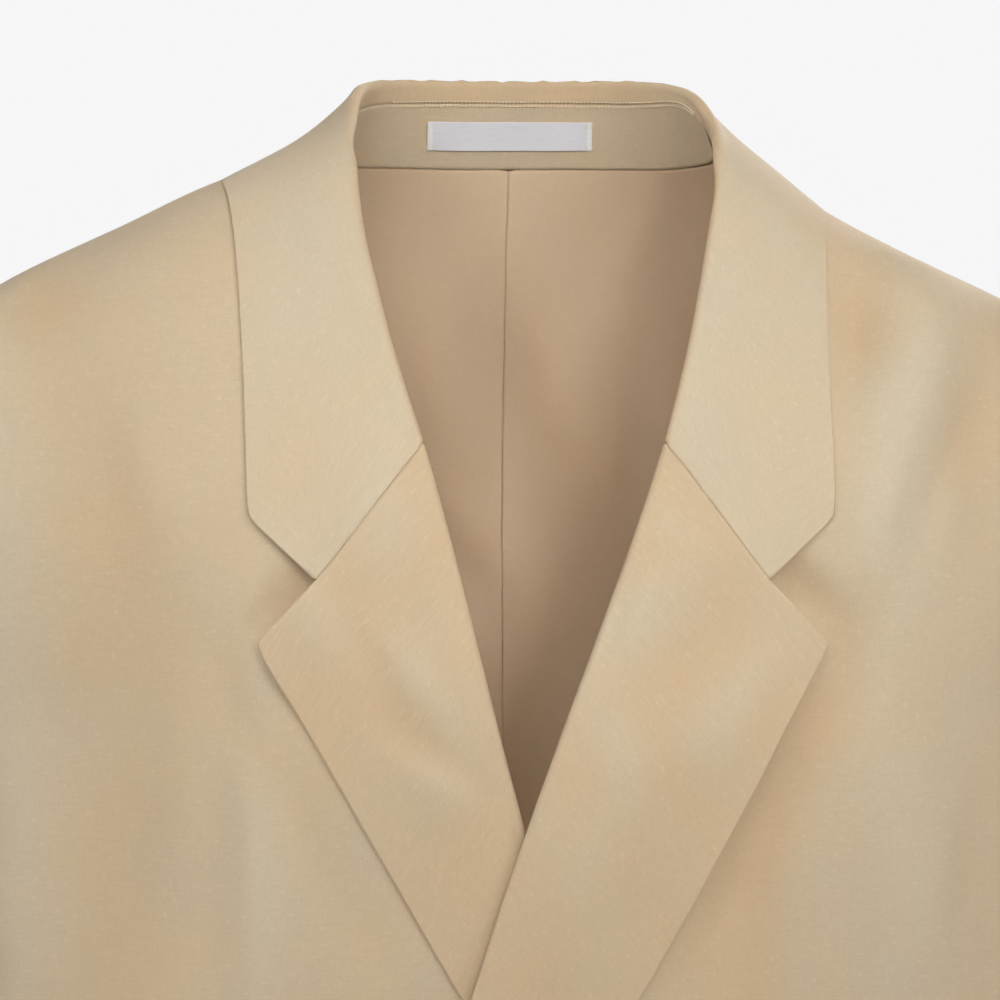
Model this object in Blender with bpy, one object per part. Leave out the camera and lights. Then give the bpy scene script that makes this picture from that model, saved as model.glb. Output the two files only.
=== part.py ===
"""Double-breasted blazer, in its worn shape with no wearer: cloth walls, collar, lapels, buttons.

Metres, +Z up. The front faces -Y, and +X is the wearer's left. The origin lies in the neck,
level with the points where the shoulder seams meet the collar.

The body is one form: at each height it has a half width, a front depth and a back depth. A
point on it is given by its turn about the form, in degrees, and its height: 0 is the wearer's
left side, 90 the centre front, 180 the right side and -90 the centre back.
"""
from collections import namedtuple
from math import cos, pi, radians, sin

import bmesh
import bpy
import numpy as np
from mathutils import Matrix, Vector

# ------------------------------------------------------------------ driving sizes
CLOTH = 0.0012             # wall of the body and sleeves
LAPEL_CLOTH = 0.0016       # two layers with canvas between them
COLLAR_CLOTH = 0.0016      # two layers with a stiffener between them
LINING_CLOTH = 0.0010
LABEL_CLOTH = 0.0006
SEAM_GAP = 0.0003          # between two pieces at a seam
SLEEVE_GAP = 0.0005        # between a sleeve and the armhole

HEM_Z = -0.735
OVERLAP = 0.074            # each front reaches this far past the centre
BREAK_Z = -0.480           # where the lapels start to turn back
SIDE_TURN = 19.0           # edges of the side bodies, degrees from the side
FRONT_FULLNESS = 0.15      # added toward the sides of the front
BACK_FULLNESS = 0.22       # and of the back, over the shoulder blades

ARMHOLE_Z = -0.156         # height of the armhole's middle
ARMHOLE_HALF_HEIGHT = 0.085
ARMHOLE_HALF_TURN = 31.0   # half of the armhole's width, degrees of turn

LEAN_DROP = 0.0065         # the left shoulder hangs this much low, and the right this much high
LEAN_START_X = 0.064
LEAN_RUN_X = 0.083
LEAN_START_Z = -0.156
LEAN_RUN_Z = 0.074

LIFT = 0.0085              # the outer front lies this far off the form, over the inner front
LIFT_FULL_X = 0.080        # full as far out as this
LIFT_RUN_X = 0.075
LIFT_START_Z = -0.184      # it grows from this height down
LIFT_RUN_Z = 0.078

TURN_RADIUS = 0.0034       # outside radius of the turned edge of the collar and lapels
TURN_TUCK = 0.0058         # a front's own edge lies this far inside the turned edge
TUCK_RUN = 0.030           # the tuck grows over this height above the break
COLLAR_REACH = 0.0068      # collar cloth inside the neck, below its turned edge
FOOT_LEAN = 0.0010         # it leans this much away from the cloth it covers
LAPEL_REACH = 0.0100       # lapel cloth behind the front
LEAF_LIFT = 0.0040         # face of a turned leaf above the cloth it lies on
BRIDGE_RISE = 0.0020       # swell of the collar where it stands free round the neck
RIDGE_LIFT = 0.0012        # its edge lies this much freer over the shoulder seam

GORGE_Z = -0.1255          # where the collar seam meets the roll line
NOTCH = (0.0906, -0.1812)  # x and z of the bottom of the notch
NOTCH_SHARE = 0.62         # how far across the leaves the notch lies
LAPEL_TIP_Z = -0.2063
LAPEL_END = 0.95           # share of the roll line that the lapel's cloth runs down

LABEL_SIZE = (0.071, 0.0125)
LINING_HANG = 0.0009       # space between the back and its lining
LINING_TOP_GAP = 0.0080    # from the lining's top to the neck seam
LINING_SIDE_COLUMNS = 1    # grid columns of the back that the lining leaves bare at the side

BUTTON_RADIUS = 0.0105
BUTTON_HEIGHT = 0.0034
BUTTON_HOLE_RADIUS = 0.0011
BUTTON_HOLE_OFFSET = 0.0020
BUTTON_SEAT = 0.0004       # space behind a button's back
BUTTON_X = 0.055
BUTTON_ROWS = {"upper": -0.492, "lower": -0.602}

# ------------------------------------------------------------------ the form
FormRow = namedtuple("FormRow", "z half_width front_depth back_depth")
FORM = (
    FormRow(0.000, 0.0850, 0.0480, 0.0685),
    FormRow(-0.037, 0.1600, 0.0680, 0.0830),
    FormRow(-0.071, 0.2265, 0.0855, 0.0930),
    FormRow(-0.101, 0.2535, 0.0995, 0.1000),
    FormRow(-0.147, 0.2620, 0.1140, 0.1060),
    FormRow(-0.193, 0.2510, 0.1225, 0.1080),
    FormRow(-0.241, 0.2360, 0.1260, 0.1070),
    FormRow(-0.330, 0.2345, 0.1220, 0.1010),
    FormRow(-0.430, 0.2325, 0.1180, 0.0950),
    FormRow(-0.560, 0.2360, 0.1200, 0.1000),
    FormRow(-0.760, 0.2460, 0.1260, 0.1100),
)

# ------------------------------------------------------------------ lapels and collar
# The roll line of each lapel: distance from the centre, on the lapel's own side.
RollRow = namedtuple("RollRow", "z outer_x inner_x")
ROLL = (
    RollRow(-0.0175, 0.0777, 0.0710),
    RollRow(-0.0386, 0.0722, 0.0690),
    RollRow(-0.0635, 0.0667, 0.0637),
    RollRow(-0.0883, 0.0605, 0.0582),
    RollRow(-0.1255, 0.0497, 0.0470),
    RollRow(-0.2788, -0.0075, 0.0082),
    RollRow(-0.3478, -0.0297, -0.0140),
    RollRow(-0.4800, -0.0740, -0.0740),
)

# The free edge of each lapel below its tip.
EdgeRow = namedtuple("EdgeRow", "z outer_x inner_x")
LAPEL_EDGE = (
    EdgeRow(-0.2063, 0.1137, 0.1139),
    EdgeRow(-0.2760, 0.0758, 0.0742),
    EdgeRow(-0.3444, 0.0384, 0.0348),
    EdgeRow(-0.4050, -0.0010, -0.0030),
    EdgeRow(-0.4520, -0.0410, -0.0420),
    EdgeRow(-0.4800, -0.0740, -0.0740),
)

# The collar, from the centre back to the front of the neck: turned edge, seam and free edge.
NeckRow = namedtuple("NeckRow", "fold_x fold_shift fold_y fold_z seam_turn seam_z edge_x edge_z")
NECK = (
    NeckRow(0.0000, 0.0000, 0.0645, 0.0320, -90.0, -0.0048, 0.0000, -0.0330),
    NeckRow(0.0275, 0.0000, 0.0620, 0.0320, -66.0, -0.0048, 0.0415, -0.0325),
    NeckRow(0.0515, 0.0000, 0.0497, 0.0313, -45.0, -0.0044, 0.0828, -0.0304),
    NeckRow(0.0697, 0.0039, 0.0276, 0.0267, -22.0, -0.0028, 0.1120, -0.0258),
    NeckRow(0.0750, 0.0055, -0.0028, 0.0115, 0.0, 0.0000, 0.1258, -0.0218),
    NeckRow(0.0754, 0.0038, -0.0220, 0.0042, 23.0, -0.0037, 0.1236, -0.0300),
    NeckRow(0.0753, 0.0030, -0.0354, -0.0053, 39.0, -0.0083, 0.1222, -0.0420),
)
# Below those rows the turned edge follows the roll line, to the gorge.
LeafRow = namedtuple("LeafRow", "fold_z edge_x edge_z")
LEAF = (
    LeafRow(-0.0175, 0.1213, -0.0560),
    LeafRow(-0.0414, 0.1200, -0.0810),
    LeafRow(-0.0810, 0.1187, -0.1180),
    LeafRow(GORGE_Z, 0.1175, -0.1564),
)
SHOULDER_ROW = 4           # the neck row at the shoulder seam
STAND_ROWS = 3.7           # the band inside the neck runs this many rows from the centre back
BAND_GAP = 0.0007          # from the collar's turned cloth to the band
STAND_GAP = 0.0012         # from the band to the neck seam
LIES_FROM = 4.1            # from this row the collar leaf starts to lie on the front
LIES_RUN = 2.2             # and it lies flat this many rows on
BEND_RUN = 1.5             # rows before the gorge over which the leaf bends to the notch
LEAF_SHARES = (0.15, 0.36, NOTCH_SHARE, 0.82, 1.0)

Station = namedtuple("Station", "place side fold seam foot along seam_at edge_at")
PlaceRow = namedtuple("PlaceRow", "place value")

# ------------------------------------------------------------------ folds and sleeves
# A fold is a soft ridge where high is positive, and a trough where it is negative.
FoldRow = namedtuple("FoldRow", "x z half_length half_width lean high")
FRONT_FOLDS = (
    FoldRow(0.146, -0.128, 0.068, 0.021, -20.0, 0.0035),
    FoldRow(0.180, -0.118, 0.060, 0.018, -32.0, -0.0035),
    FoldRow(0.150, -0.290, 0.100, 0.028, 4.0, 0.0030),
    FoldRow(-0.205, -0.220, 0.140, 0.018, 2.0, 0.0030),
    FoldRow(-0.156, -0.200, 0.115, 0.028, 3.0, -0.0040),
    FoldRow(-0.145, -0.400, 0.110, 0.026, -8.0, 0.0035),
    FoldRow(0.135, -0.540, 0.110, 0.028, 10.0, -0.0035),
    FoldRow(-0.155, -0.590, 0.090, 0.030, 3.0, 0.0035),
)
BACK_FOLDS = (
    FoldRow(0.150, -0.230, 0.110, 0.024, -10.0, 0.0040),
    FoldRow(-0.155, -0.220, 0.100, 0.026, 11.0, 0.0040),
    FoldRow(0.095, -0.380, 0.120, 0.024, -6.0, -0.0035),
    FoldRow(-0.080, -0.400, 0.120, 0.026, 5.0, -0.0035),
    FoldRow(0.060, -0.600, 0.110, 0.030, -4.0, 0.0035),
    FoldRow(-0.110, -0.590, 0.100, 0.028, 6.0, 0.0035),
)
FOLD_FREE_TURN = 8.0       # folds fade out within this turn of the shoulder and side lines
FOLD_FADE_TURN = 18.0

ArmRow = namedtuple("ArmRow", "z x y half_x half_y")
ARM = (
    ArmRow(-0.275, 0.2930, 0.000, 0.0505, 0.0690),
    ArmRow(-0.350, 0.2955, -0.004, 0.0485, 0.0655),
    ArmRow(-0.430, 0.2965, -0.009, 0.0460, 0.0610),
    ArmRow(-0.510, 0.2970, -0.018, 0.0430, 0.0565),
    ArmRow(-0.590, 0.2965, -0.030, 0.0395, 0.0520),
    ArmRow(-0.675, 0.2950, -0.044, 0.0365, 0.0475),
)
# Sleeve folds lie across the arm; climb is their rise per degree of turn.
ArmFoldRow = namedtuple("ArmFoldRow", "turn z half_turn half_height climb high")
ARM_FOLDS = (
    ArmFoldRow(85.0, -0.335, 60.0, 0.020, 0.00030, -0.0035),
    ArmFoldRow(95.0, -0.425, 55.0, 0.018, -0.00035, -0.0040),
    ArmFoldRow(70.0, -0.485, 50.0, 0.018, 0.00030, -0.0035),
    ArmFoldRow(-80.0, -0.390, 60.0, 0.020, -0.00030, -0.0030),
)

# ------------------------------------------------------------------ grid lines
# Lines of the panels, as shares of the way from hem to shoulder. Pieces share them at seams.
SIDE_LINES = (0.0, 0.07, 0.14, 0.212, 0.28, 0.35, 0.42, 0.50)
FRONT_LINES = SIDE_LINES + (0.525, 0.56, 0.60, 0.65, 0.70, 0.75, 0.80,
                            0.85, 0.89, 0.925, 0.955, 0.98, 1.0)
BACK_LINES = SIDE_LINES + (0.55, 0.60, 0.65, 0.70, 0.75, 0.80, 0.85, 0.90, 0.95, 1.0)
FRONT_COLUMNS = (0.0, 0.04, 0.10, 0.18, 0.27, 0.36, 0.46, 0.56, 0.66, 0.76, 0.85, 0.93, 1.0)
BACK_COLUMNS = (0.0, 0.12, 0.24, 0.37, 0.50, 0.63, 0.75, 0.88, 1.0)
SIDE_TURNS = tuple(SIDE_TURN * share for share in (-1.0, -0.63, -0.26, 0.26, 0.63, 1.0))
SEAM_SHARE = 0.50          # side seam below this share, armhole above it
NECK_SHARE = 0.75          # centre back seam below this share, neck seam above it
SLEEVE_SEAM_SHARE = 0.60   # the sleeve seams meet the armhole at this line
LINING_FIRST_LINE = 5      # the lining starts at this line of the back
FRONT_POWER = 1.45         # the lines crowd toward the neck by these powers
BACK_POWER = 1.20
# Places of the collar's sections, counted in rows from the centre back.
COLLAR_PLACES = (0.0, 0.7, 1.4, 2.1, 2.7, 3.2, 3.6, 3.95, 4.35,
                 4.85, 5.4, 6.0, 6.6, 7.3, 8.1, 8.9, 9.45, 10.0)
LAPEL_STEPS = 11           # sections down each lapel
ARC_STEPS = 3              # faces round a turned edge
CAP_STEPS = 5              # rings from the armhole to the top of the arm
ARM_STEPS = 5              # and from there to the cuff
BUTTON_SIDES = 20


# ------------------------------------------------------------------ curves through tables
def eased(table, column, at):
    """A smooth curve through one column of a table against its first, with no overshoot."""
    rows = sorted(table)
    knots = np.array([row[0] for row in rows])
    values = np.array([getattr(row, column) for row in rows])
    slopes = np.diff(values) / np.diff(knots)
    same = slopes[:-1] * slopes[1:] > 0
    sums = np.where(same, slopes[:-1] + slopes[1:], 1.0)
    middle = np.where(same, 2.0 * slopes[:-1] * slopes[1:] / sums, 0.0)
    tangents = np.concatenate([slopes[:1], middle, slopes[-1:]])
    at = np.clip(at, knots[0], knots[-1])
    i = np.clip(np.searchsorted(knots, at) - 1, 0, len(knots) - 2)
    span = knots[i + 1] - knots[i]
    u = (at - knots[i]) / span
    return ((2 * u**3 - 3 * u**2 + 1) * values[i] + (u**3 - 2 * u**2 + u) * span * tangents[i]
            + (3 * u**2 - 2 * u**3) * values[i + 1] + (u**3 - u**2) * span * tangents[i + 1])


def through(values, place):
    """A smooth curve through evenly placed values."""
    rows = [PlaceRow(float(i), value) for i, value in enumerate(values)]
    return float(eased(rows, "value", place))


def ramp(value, start, run):
    """0 before start, 1 after start + run, smooth between."""
    u = np.clip((value - start) / run, 0.0, 1.0)
    return u * u * (3.0 - 2.0 * u)


def unit(vectors):
    return vectors / np.linalg.norm(vectors, axis=-1, keepdims=True)


# ------------------------------------------------------------------ the form and its cloth
def bare_form(turn, z):
    angle = np.radians(turn)
    across, toward = np.cos(angle), np.sin(angle)
    x = eased(FORM, "half_width", z) * across
    front = -eased(FORM, "front_depth", z) * toward * (1.0 + FRONT_FULLNESS * across**2)
    back = -eased(FORM, "back_depth", z) * toward * (1.0 + BACK_FULLNESS * across**2)
    return np.stack([x, np.where(toward > 0, front, back), z + 0.0 * x], axis=-1)


def form_normal(turn, z):
    step_turn, step_z = 0.02, 0.0001
    around = bare_form(turn + step_turn, z) - bare_form(turn - step_turn, z)
    along = bare_form(turn, z + step_z) - bare_form(turn, z - step_z)
    return unit(np.cross(along, around))


def fold_height(x, z, folds):
    total = np.zeros_like(x)
    for fold in folds:
        lean = radians(fold.lean)
        dx, dz = x - fold.x, z - fold.z
        across = dx * cos(lean) + dz * sin(lean)
        along = dz * cos(lean) - dx * sin(lean)
        total += fold.high * np.exp(-(across / fold.half_width)**2 - (along / fold.half_length)**2)
    return total


def cloth(turn, z, off=0.0, outer=False):
    """A point of the worn cloth, moved off along the form's normal."""
    turn, z = np.broadcast_arrays(np.asarray(turn, float), np.asarray(z, float))
    at = bare_form(turn, z)
    x = at[..., 0]
    toward = np.sin(np.radians(turn))
    folds = np.where(toward > 0, fold_height(x, z, FRONT_FOLDS), fold_height(x, z, BACK_FOLDS))
    from_side = np.degrees(np.arcsin(np.clip(np.abs(toward), 0.0, 1.0)))
    rise = off + folds * ramp(from_side, FOLD_FREE_TURN, FOLD_FADE_TURN)
    if outer:
        lift = (1.0 - ramp(x, LIFT_FULL_X, LIFT_RUN_X)) * ramp(-z, -LIFT_START_Z, LIFT_RUN_Z)
        rise = rise + LIFT * lift * (toward > 0)
    return at + form_normal(turn, z) * rise[..., None]


def turn_at(x, z):
    """The turn of a point on the front, from its distance across and its height."""
    return np.degrees(np.arccos(np.clip(x / eased(FORM, "half_width", z), -1.0, 1.0)))


def roll_x(z, outer):
    return eased(ROLL, "outer_x" if outer else "inner_x", z)


def leaned(points):
    """The whole garment leans a little on its shoulders."""
    points = np.array(points, float)
    x, z = points[..., 0], points[..., 2]
    share = ramp(np.abs(x), LEAN_START_X, LEAN_RUN_X) * ramp(z, LEAN_START_Z, LEAN_RUN_Z)
    points[..., 2] = z - LEAN_DROP * np.sign(x) * share
    return points


def for_side(side, turn):
    """The turn of the same place on the wearer's left (side 1) or right (side -1)."""
    return turn if side > 0 else 180.0 - turn


# ------------------------------------------------------------------ solids
def material(name, colour, roughness, metallic=0.0):
    made = bpy.data.materials.new(name)
    made.use_nodes = True
    shader = made.node_tree.nodes["Principled BSDF"]
    shader.inputs["Base Color"].default_value = (*colour, 1.0)
    shader.inputs["Roughness"].default_value = roughness
    shader.inputs["Metallic"].default_value = metallic
    return made


def add_object(name, mesh, finish):
    mesh.materials.append(finish)
    mesh.shade_smooth()
    mesh.set_sharp_from_angle(angle=radians(40))
    made = bpy.data.objects.new(name, mesh)
    bpy.context.scene.collection.objects.link(made)
    return made


def grid_normals(grid):
    """Normals of a grid; those at its borders run on from the two lines inside them."""
    normals = unit(np.cross(np.gradient(grid, axis=0), np.gradient(grid, axis=1)))
    for axis in (0, 1):
        lines = np.moveaxis(normals, axis, 0)
        if len(lines) > 3:
            lines[0] = unit(2.0 * lines[1] - lines[2])
            lines[-1] = unit(2.0 * lines[-2] - lines[-3])
    return normals


def inset(grid, first_row=0.0, last_row=0.0, first_col=0.0, last_col=0.0):
    """Moves the borders of a grid inward, toward the next line of points."""
    grid = grid.copy()
    grid[0] += unit(grid[1] - grid[0]) * first_row
    grid[-1] += unit(grid[-2] - grid[-1]) * last_row
    grid[:, 0] += unit(grid[:, 1] - grid[:, 0]) * first_col
    grid[:, -1] += unit(grid[:, -2] - grid[:, -1]) * last_col
    return grid


def wall(name, grid, thickness, finish, facing, normals=None):
    """A closed cloth wall: the grid is its face, and its thickness lies behind that face.

    facing points out of the face at the grid's middle; it isn't read where normals are given.
    """
    rows, cols = grid.shape[:2]
    if normals is None:
        normals = grid_normals(grid)
        if normals[rows // 2, cols // 2] @ np.array(facing) < 0:
            normals = -normals
    layers = leaned(np.stack([grid, grid - normals * thickness]))
    mesh = bmesh.new()
    face, back = [[[mesh.verts.new(point) for point in row] for row in layer] for layer in layers]
    for layer in (face, back):
        for r in range(rows - 1):
            for c in range(cols - 1):
                mesh.faces.new((layer[r][c], layer[r][c + 1], layer[r + 1][c + 1], layer[r + 1][c]))
    border = [(0, c) for c in range(cols - 1)] + [(r, cols - 1) for r in range(rows - 1)]
    border += [(rows - 1, c) for c in range(cols - 1, 0, -1)] + [(r, 0) for r in range(rows - 1, 0, -1)]
    for (r0, c0), (r1, c1) in zip(border, border[1:] + border[:1]):
        mesh.faces.new((face[r0][c0], face[r1][c1], back[r1][c1], back[r0][c0]))
    bmesh.ops.recalc_face_normals(mesh, faces=mesh.faces)
    data = bpy.data.meshes.new(name)
    mesh.to_mesh(data)
    mesh.free()
    return add_object(name, data, finish)


# ------------------------------------------------------------------ panel borders
def armhole(angle):
    """Turn and height of the left armhole, at an angle from its top toward the front."""
    return ARMHOLE_HALF_TURN * sin(angle), ARMHOLE_Z + ARMHOLE_HALF_HEIGHT * cos(angle)


SIDE_ANGLE = pi - float(np.arcsin(SIDE_TURN / ARMHOLE_HALF_TURN))
SIDE_TOP_Z = armhole(SIDE_ANGLE)[1]


def armhole_angle(share):
    """Where a panel line meets the armhole, as an angle from its top."""
    return SIDE_ANGLE * (1.0 - share) / (1.0 - SEAM_SHARE)


def outer_border(share, facing):
    """Side seam, then armhole; facing is 1 on the front and -1 on the back."""
    if share <= SEAM_SHARE:
        return facing * SIDE_TURN, HEM_Z + (SIDE_TOP_Z - HEM_Z) * share / SEAM_SHARE
    turn, z = armhole(armhole_angle(share))
    return facing * turn, z


def neck_seam_turn(row, side):
    """Turn of the neck seam, which follows the sideways shift of the turned edge at the front."""
    if row.seam_turn <= 0.0:
        return row.seam_turn
    share = row.seam_turn / NECK[-1].seam_turn
    half_width = eased(FORM, "half_width", row.seam_z)
    x = half_width * cos(radians(row.seam_turn)) + side * row.fold_shift * share
    return float(turn_at(x, row.seam_z))


def front_border(share, side):
    """Front edge, then just inside the roll line, then the neck, for a left front."""
    z = HEM_Z * (1.0 - share)**FRONT_POWER
    if z <= BREAK_Z:
        return turn_at(-OVERLAP, z), z
    neck = NECK[SHOULDER_ROW:]
    turns = [neck_seam_turn(row, side) for row in neck]
    start = neck[-1].seam_z
    if z > start:
        return np.interp(-z, [-row.seam_z for row in neck], turns), z
    tuck = TURN_TUCK * ramp(z, BREAK_Z, TUCK_RUN)
    turn = turn_at(roll_x(z, side > 0) + tuck, z)
    step = turns[-1] - turn_at(roll_x(start, side > 0) + tuck, start)
    return turn + step * ramp(z, 2.0 * start, -start), z


def back_border(share):
    """Centre back seam, then the neck seam."""
    top = NECK[0].seam_z
    if share <= NECK_SHARE:
        return -90.0, top + (HEM_Z - top) * (1.0 - share / NECK_SHARE)**BACK_POWER
    place = SHOULDER_ROW * (share - NECK_SHARE) / (1.0 - NECK_SHARE)
    rows = range(len(NECK))
    return (np.interp(place, rows, [row.seam_turn for row in NECK]),
            np.interp(place, rows, [row.seam_z for row in NECK]))


def panel(lines, columns, inner, outer_edge):
    """Turn and height over a grid between two borders."""
    across = np.array(columns)
    a = np.array([inner(share) for share in lines])
    b = np.array([outer_edge(share) for share in lines])
    return a[:, :1] + (b[:, :1] - a[:, :1]) * across, a[:, 1:] + (b[:, 1:] - a[:, 1:]) * across


# ------------------------------------------------------------------ body panels
def build_front(side, name, finish):
    turn, z = panel(FRONT_LINES, FRONT_COLUMNS, lambda share: front_border(share, side),
                    lambda share: outer_border(share, 1.0))
    grid = cloth(for_side(side, turn), z, outer=side > 0)
    half = SEAM_GAP / 2
    wall(name, inset(grid, last_row=half, last_col=half), CLOTH, finish, (0, -1, 0))


def back_grid(side, off):
    turn, z = panel(BACK_LINES, BACK_COLUMNS, back_border, lambda share: outer_border(share, -1.0))
    return cloth(for_side(side, turn), z, off=off)


def build_back(side, name, finish):
    half = SEAM_GAP / 2
    grid = inset(back_grid(side, 0.0), last_row=half, first_col=half, last_col=half)
    wall(name, grid, CLOTH, finish, (0, 1, 0))


def build_side(side, name, finish):
    turns = np.array(SIDE_TURNS)
    tops = ARMHOLE_Z - ARMHOLE_HALF_HEIGHT * np.sqrt(1.0 - (turns / ARMHOLE_HALF_TURN)**2)
    shares = np.array(SIDE_LINES)[:, None] / SEAM_SHARE
    z = HEM_Z + (tops - HEM_Z) * shares
    grid = cloth(for_side(side, turns + 0.0 * z), z)
    half = SEAM_GAP / 2
    wall(name, inset(grid, last_row=half, first_col=half, last_col=half), CLOTH, finish, (side, 0, 0))


def build_lining(side, name, finish):
    """The upper back lining, seen inside the neck. Its panels meet at the centre pleat."""
    grid = back_grid(side, -CLOTH - LINING_HANG - LINING_CLOTH)
    grid = grid[LINING_FIRST_LINE:, :len(BACK_COLUMNS) - LINING_SIDE_COLUMNS]
    grid = inset(grid, last_row=LINING_TOP_GAP, first_col=SEAM_GAP)
    wall(name, grid, LINING_CLOTH, finish, (0, -1, 0))


# ------------------------------------------------------------------ collar and lapels
def beside_roll(z, side, reach, off):
    """The point of the cloth at a distance square to the roll line, and its x and z on the form."""
    outer = side > 0
    slope = (roll_x(z + 0.002, outer) - roll_x(z - 0.002, outer)) / 0.004
    step = reach / np.hypot(1.0, slope)
    x, z = float(roll_x(z, outer) + step), float(z - step * slope)
    return cloth(for_side(side, turn_at(x, z)), z, off=off, outer=outer), (x, z)


def roll_station(z, side, reach):
    """A station of the turned edge on the roll line, with no free edge yet."""
    middle = -CLOTH / 2
    fold = beside_roll(z, side, 0.0, middle)[0]
    seam, seam_at = beside_roll(z, side, TURN_TUCK, middle)
    foot = beside_roll(z, side, TURN_RADIUS + reach, middle - TURN_RADIUS)[0]
    along = beside_roll(z - 0.001, side, 0.0, middle)[0] - beside_roll(z + 0.001, side, 0.0, middle)[0]
    return Station(None, side, fold, seam, foot, unit(along) * side, seam_at, None)


def neck_fold(place, side):
    part = [through([getattr(row, name) for row in NECK], place)
            for name in ("fold_x", "fold_shift", "fold_y", "fold_z")]
    return np.array([side * part[0] + part[1], part[2], part[3]])


def collar_station(place, side):
    """Turned edge, seam and free edge of the collar, at a place counted in table rows."""
    last = len(NECK) - 1
    edge_x = through([row.edge_x for row in NECK + LEAF], place)
    edge_z = through([row.edge_z for row in NECK + LEAF], place)
    edge_turn = float(turn_at(edge_x, edge_z)) * (1.0 if place >= SHOULDER_ROW else -1.0)
    if place > last:
        station = roll_station(through([row.fold_z for row in NECK + LEAF], place), side, COLLAR_REACH)
        return station._replace(place=place, edge_at=(edge_turn, edge_x, edge_z))
    along = neck_fold(place + 0.05, side) - neck_fold(place - 0.05, side)
    if place < 0.05:
        along = np.array([1.0, 0.0, 0.0]) * side
    seam_turn = through([neck_seam_turn(row, side) for row in NECK], place)
    seam_z = through([row.seam_z for row in NECK], place)
    seam = cloth(for_side(side, seam_turn), seam_z, off=-CLOTH / 2)
    seam_x = side * float(seam[0])
    return Station(place, side, neck_fold(place, side), seam, None, unit(along) * side,
                   (seam_x, seam_z), (edge_turn, edge_x, edge_z))


def collar_stations():
    right = [collar_station(place, -1) for place in COLLAR_PLACES[::-1]]
    return right + [collar_station(place, 1) for place in COLLAR_PLACES[1:]]


def turned_edge(stations, reach):
    """Lines of points from the hidden leg, round the turned edge, to the start of the leaf."""
    folds = np.array([station.fold for station in stations])
    along = np.array([station.along for station in stations])
    crest = folds - np.array([station.seam for station in stations])
    crest = unit(crest - along * np.sum(crest * along, axis=-1, keepdims=True))
    inward = unit(np.cross(along, crest))
    centre = folds - crest * TURN_RADIUS
    angles = np.linspace(0.0, pi, ARC_STEPS + 1)
    arc = [centre + TURN_RADIUS * (cos(a) * inward + sin(a) * crest) for a in angles]
    feet = arc[0] - crest * reach + inward * FOOT_LEAN
    for foot, station in zip(feet, stations):
        if station.foot is not None:
            foot[:] = station.foot
    return [feet] + arc, crest, inward


def on_leaf(seam_at, end_at, share, bend, side, outer):
    """A point of a leaf that lies on the front, bent toward the notch where bend is not 0."""
    dip = bend * min(share / NOTCH_SHARE, (1.0 - share) / (1.0 - NOTCH_SHARE))
    x, z = [a + (b - a) * share + dip * (notch - a - (b - a) * NOTCH_SHARE)
            for a, b, notch in zip(seam_at, end_at, NOTCH)]
    return cloth(for_side(side, turn_at(x, z)), z, off=LEAF_LIFT, outer=outer)


def leaf_wall(name, rolled, leaf, thickness, finish, facing, **gaps):
    """A wall through the turned edge's lines and the rows of its leaf."""
    lines = np.concatenate([np.array(rolled), np.array(leaf).transpose(1, 0, 2)])
    wall(name, inset(lines.transpose(1, 0, 2), **gaps), thickness, finish, facing)


def build_collar(stations, finish):
    last = stations[-1].place
    rolled, crest, inward = turned_edge(stations, COLLAR_REACH)
    leaf = []
    for station, start, up in zip(stations, rolled[-1], crest):
        side = station.side
        turn, edge_x, edge_z = station.edge_at
        free = 1.0 - ramp(abs(station.place - SHOULDER_ROW), 0.4, 1.0)
        edge = cloth(for_side(side, turn), edge_z, off=LEAF_LIFT + RIDGE_LIFT * free)
        lies = ramp(station.place, LIES_FROM, LIES_RUN)
        bend = ramp(station.place, last - BEND_RUN, BEND_RUN)
        row = []
        for share in LEAF_SHARES:
            bridge = start + (edge - start) * share + up * BRIDGE_RISE * 4.0 * share * (1.0 - share)
            lying = on_leaf(station.seam_at, (edge_x, edge_z), share, bend, side, False)
            row.append(bridge + (lying - bridge) * lies)
        leaf.append(row)
    leaf_wall("collar", rolled, leaf, COLLAR_CLOTH, finish, (0, 0, 1), first_row=SEAM_GAP, last_row=SEAM_GAP)
    return rolled[0], crest, inward


def build_stand(stations, foot, crest, inward, finish):
    """The band inside the neck, from the collar's turned cloth down to the neck seam."""
    kept = [i for i, station in enumerate(stations) if station.place <= STAND_ROWS]
    seams = np.array([stations[i].seam for i in kept])
    top = foot[kept] - crest[kept] * BAND_GAP
    bottom = seams + inward[kept] * TURN_RADIUS + crest[kept] * STAND_GAP
    shares = np.linspace(0.0, 1.0, 4)[:, None, None]
    wall("collar_stand", bottom + (top - bottom) * shares, CLOTH, finish, (0, -1, 0))
    return bottom, top


def build_label(bottom, top, finish):
    """A plain woven label on the band, at the centre back."""
    middle = len(bottom) // 2
    height = np.linalg.norm(top[middle] - bottom[middle])
    columns = np.linspace(-LABEL_SIZE[0] / 2, LABEL_SIZE[0] / 2, 7)
    grid = []
    for rise in (-LABEL_SIZE[1] / 2, LABEL_SIZE[1] / 2):
        line = bottom + (top - bottom) * (0.5 + rise / height)
        depth = np.interp(columns, line[:, 0], line[:, 1]) - SEAM_GAP - LABEL_CLOTH
        grid.append(np.stack([columns, depth, np.interp(columns, line[:, 0], line[:, 2])], axis=-1))
    wall("label", np.array(grid), LABEL_CLOTH, finish, (0, -1, 0))


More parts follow.
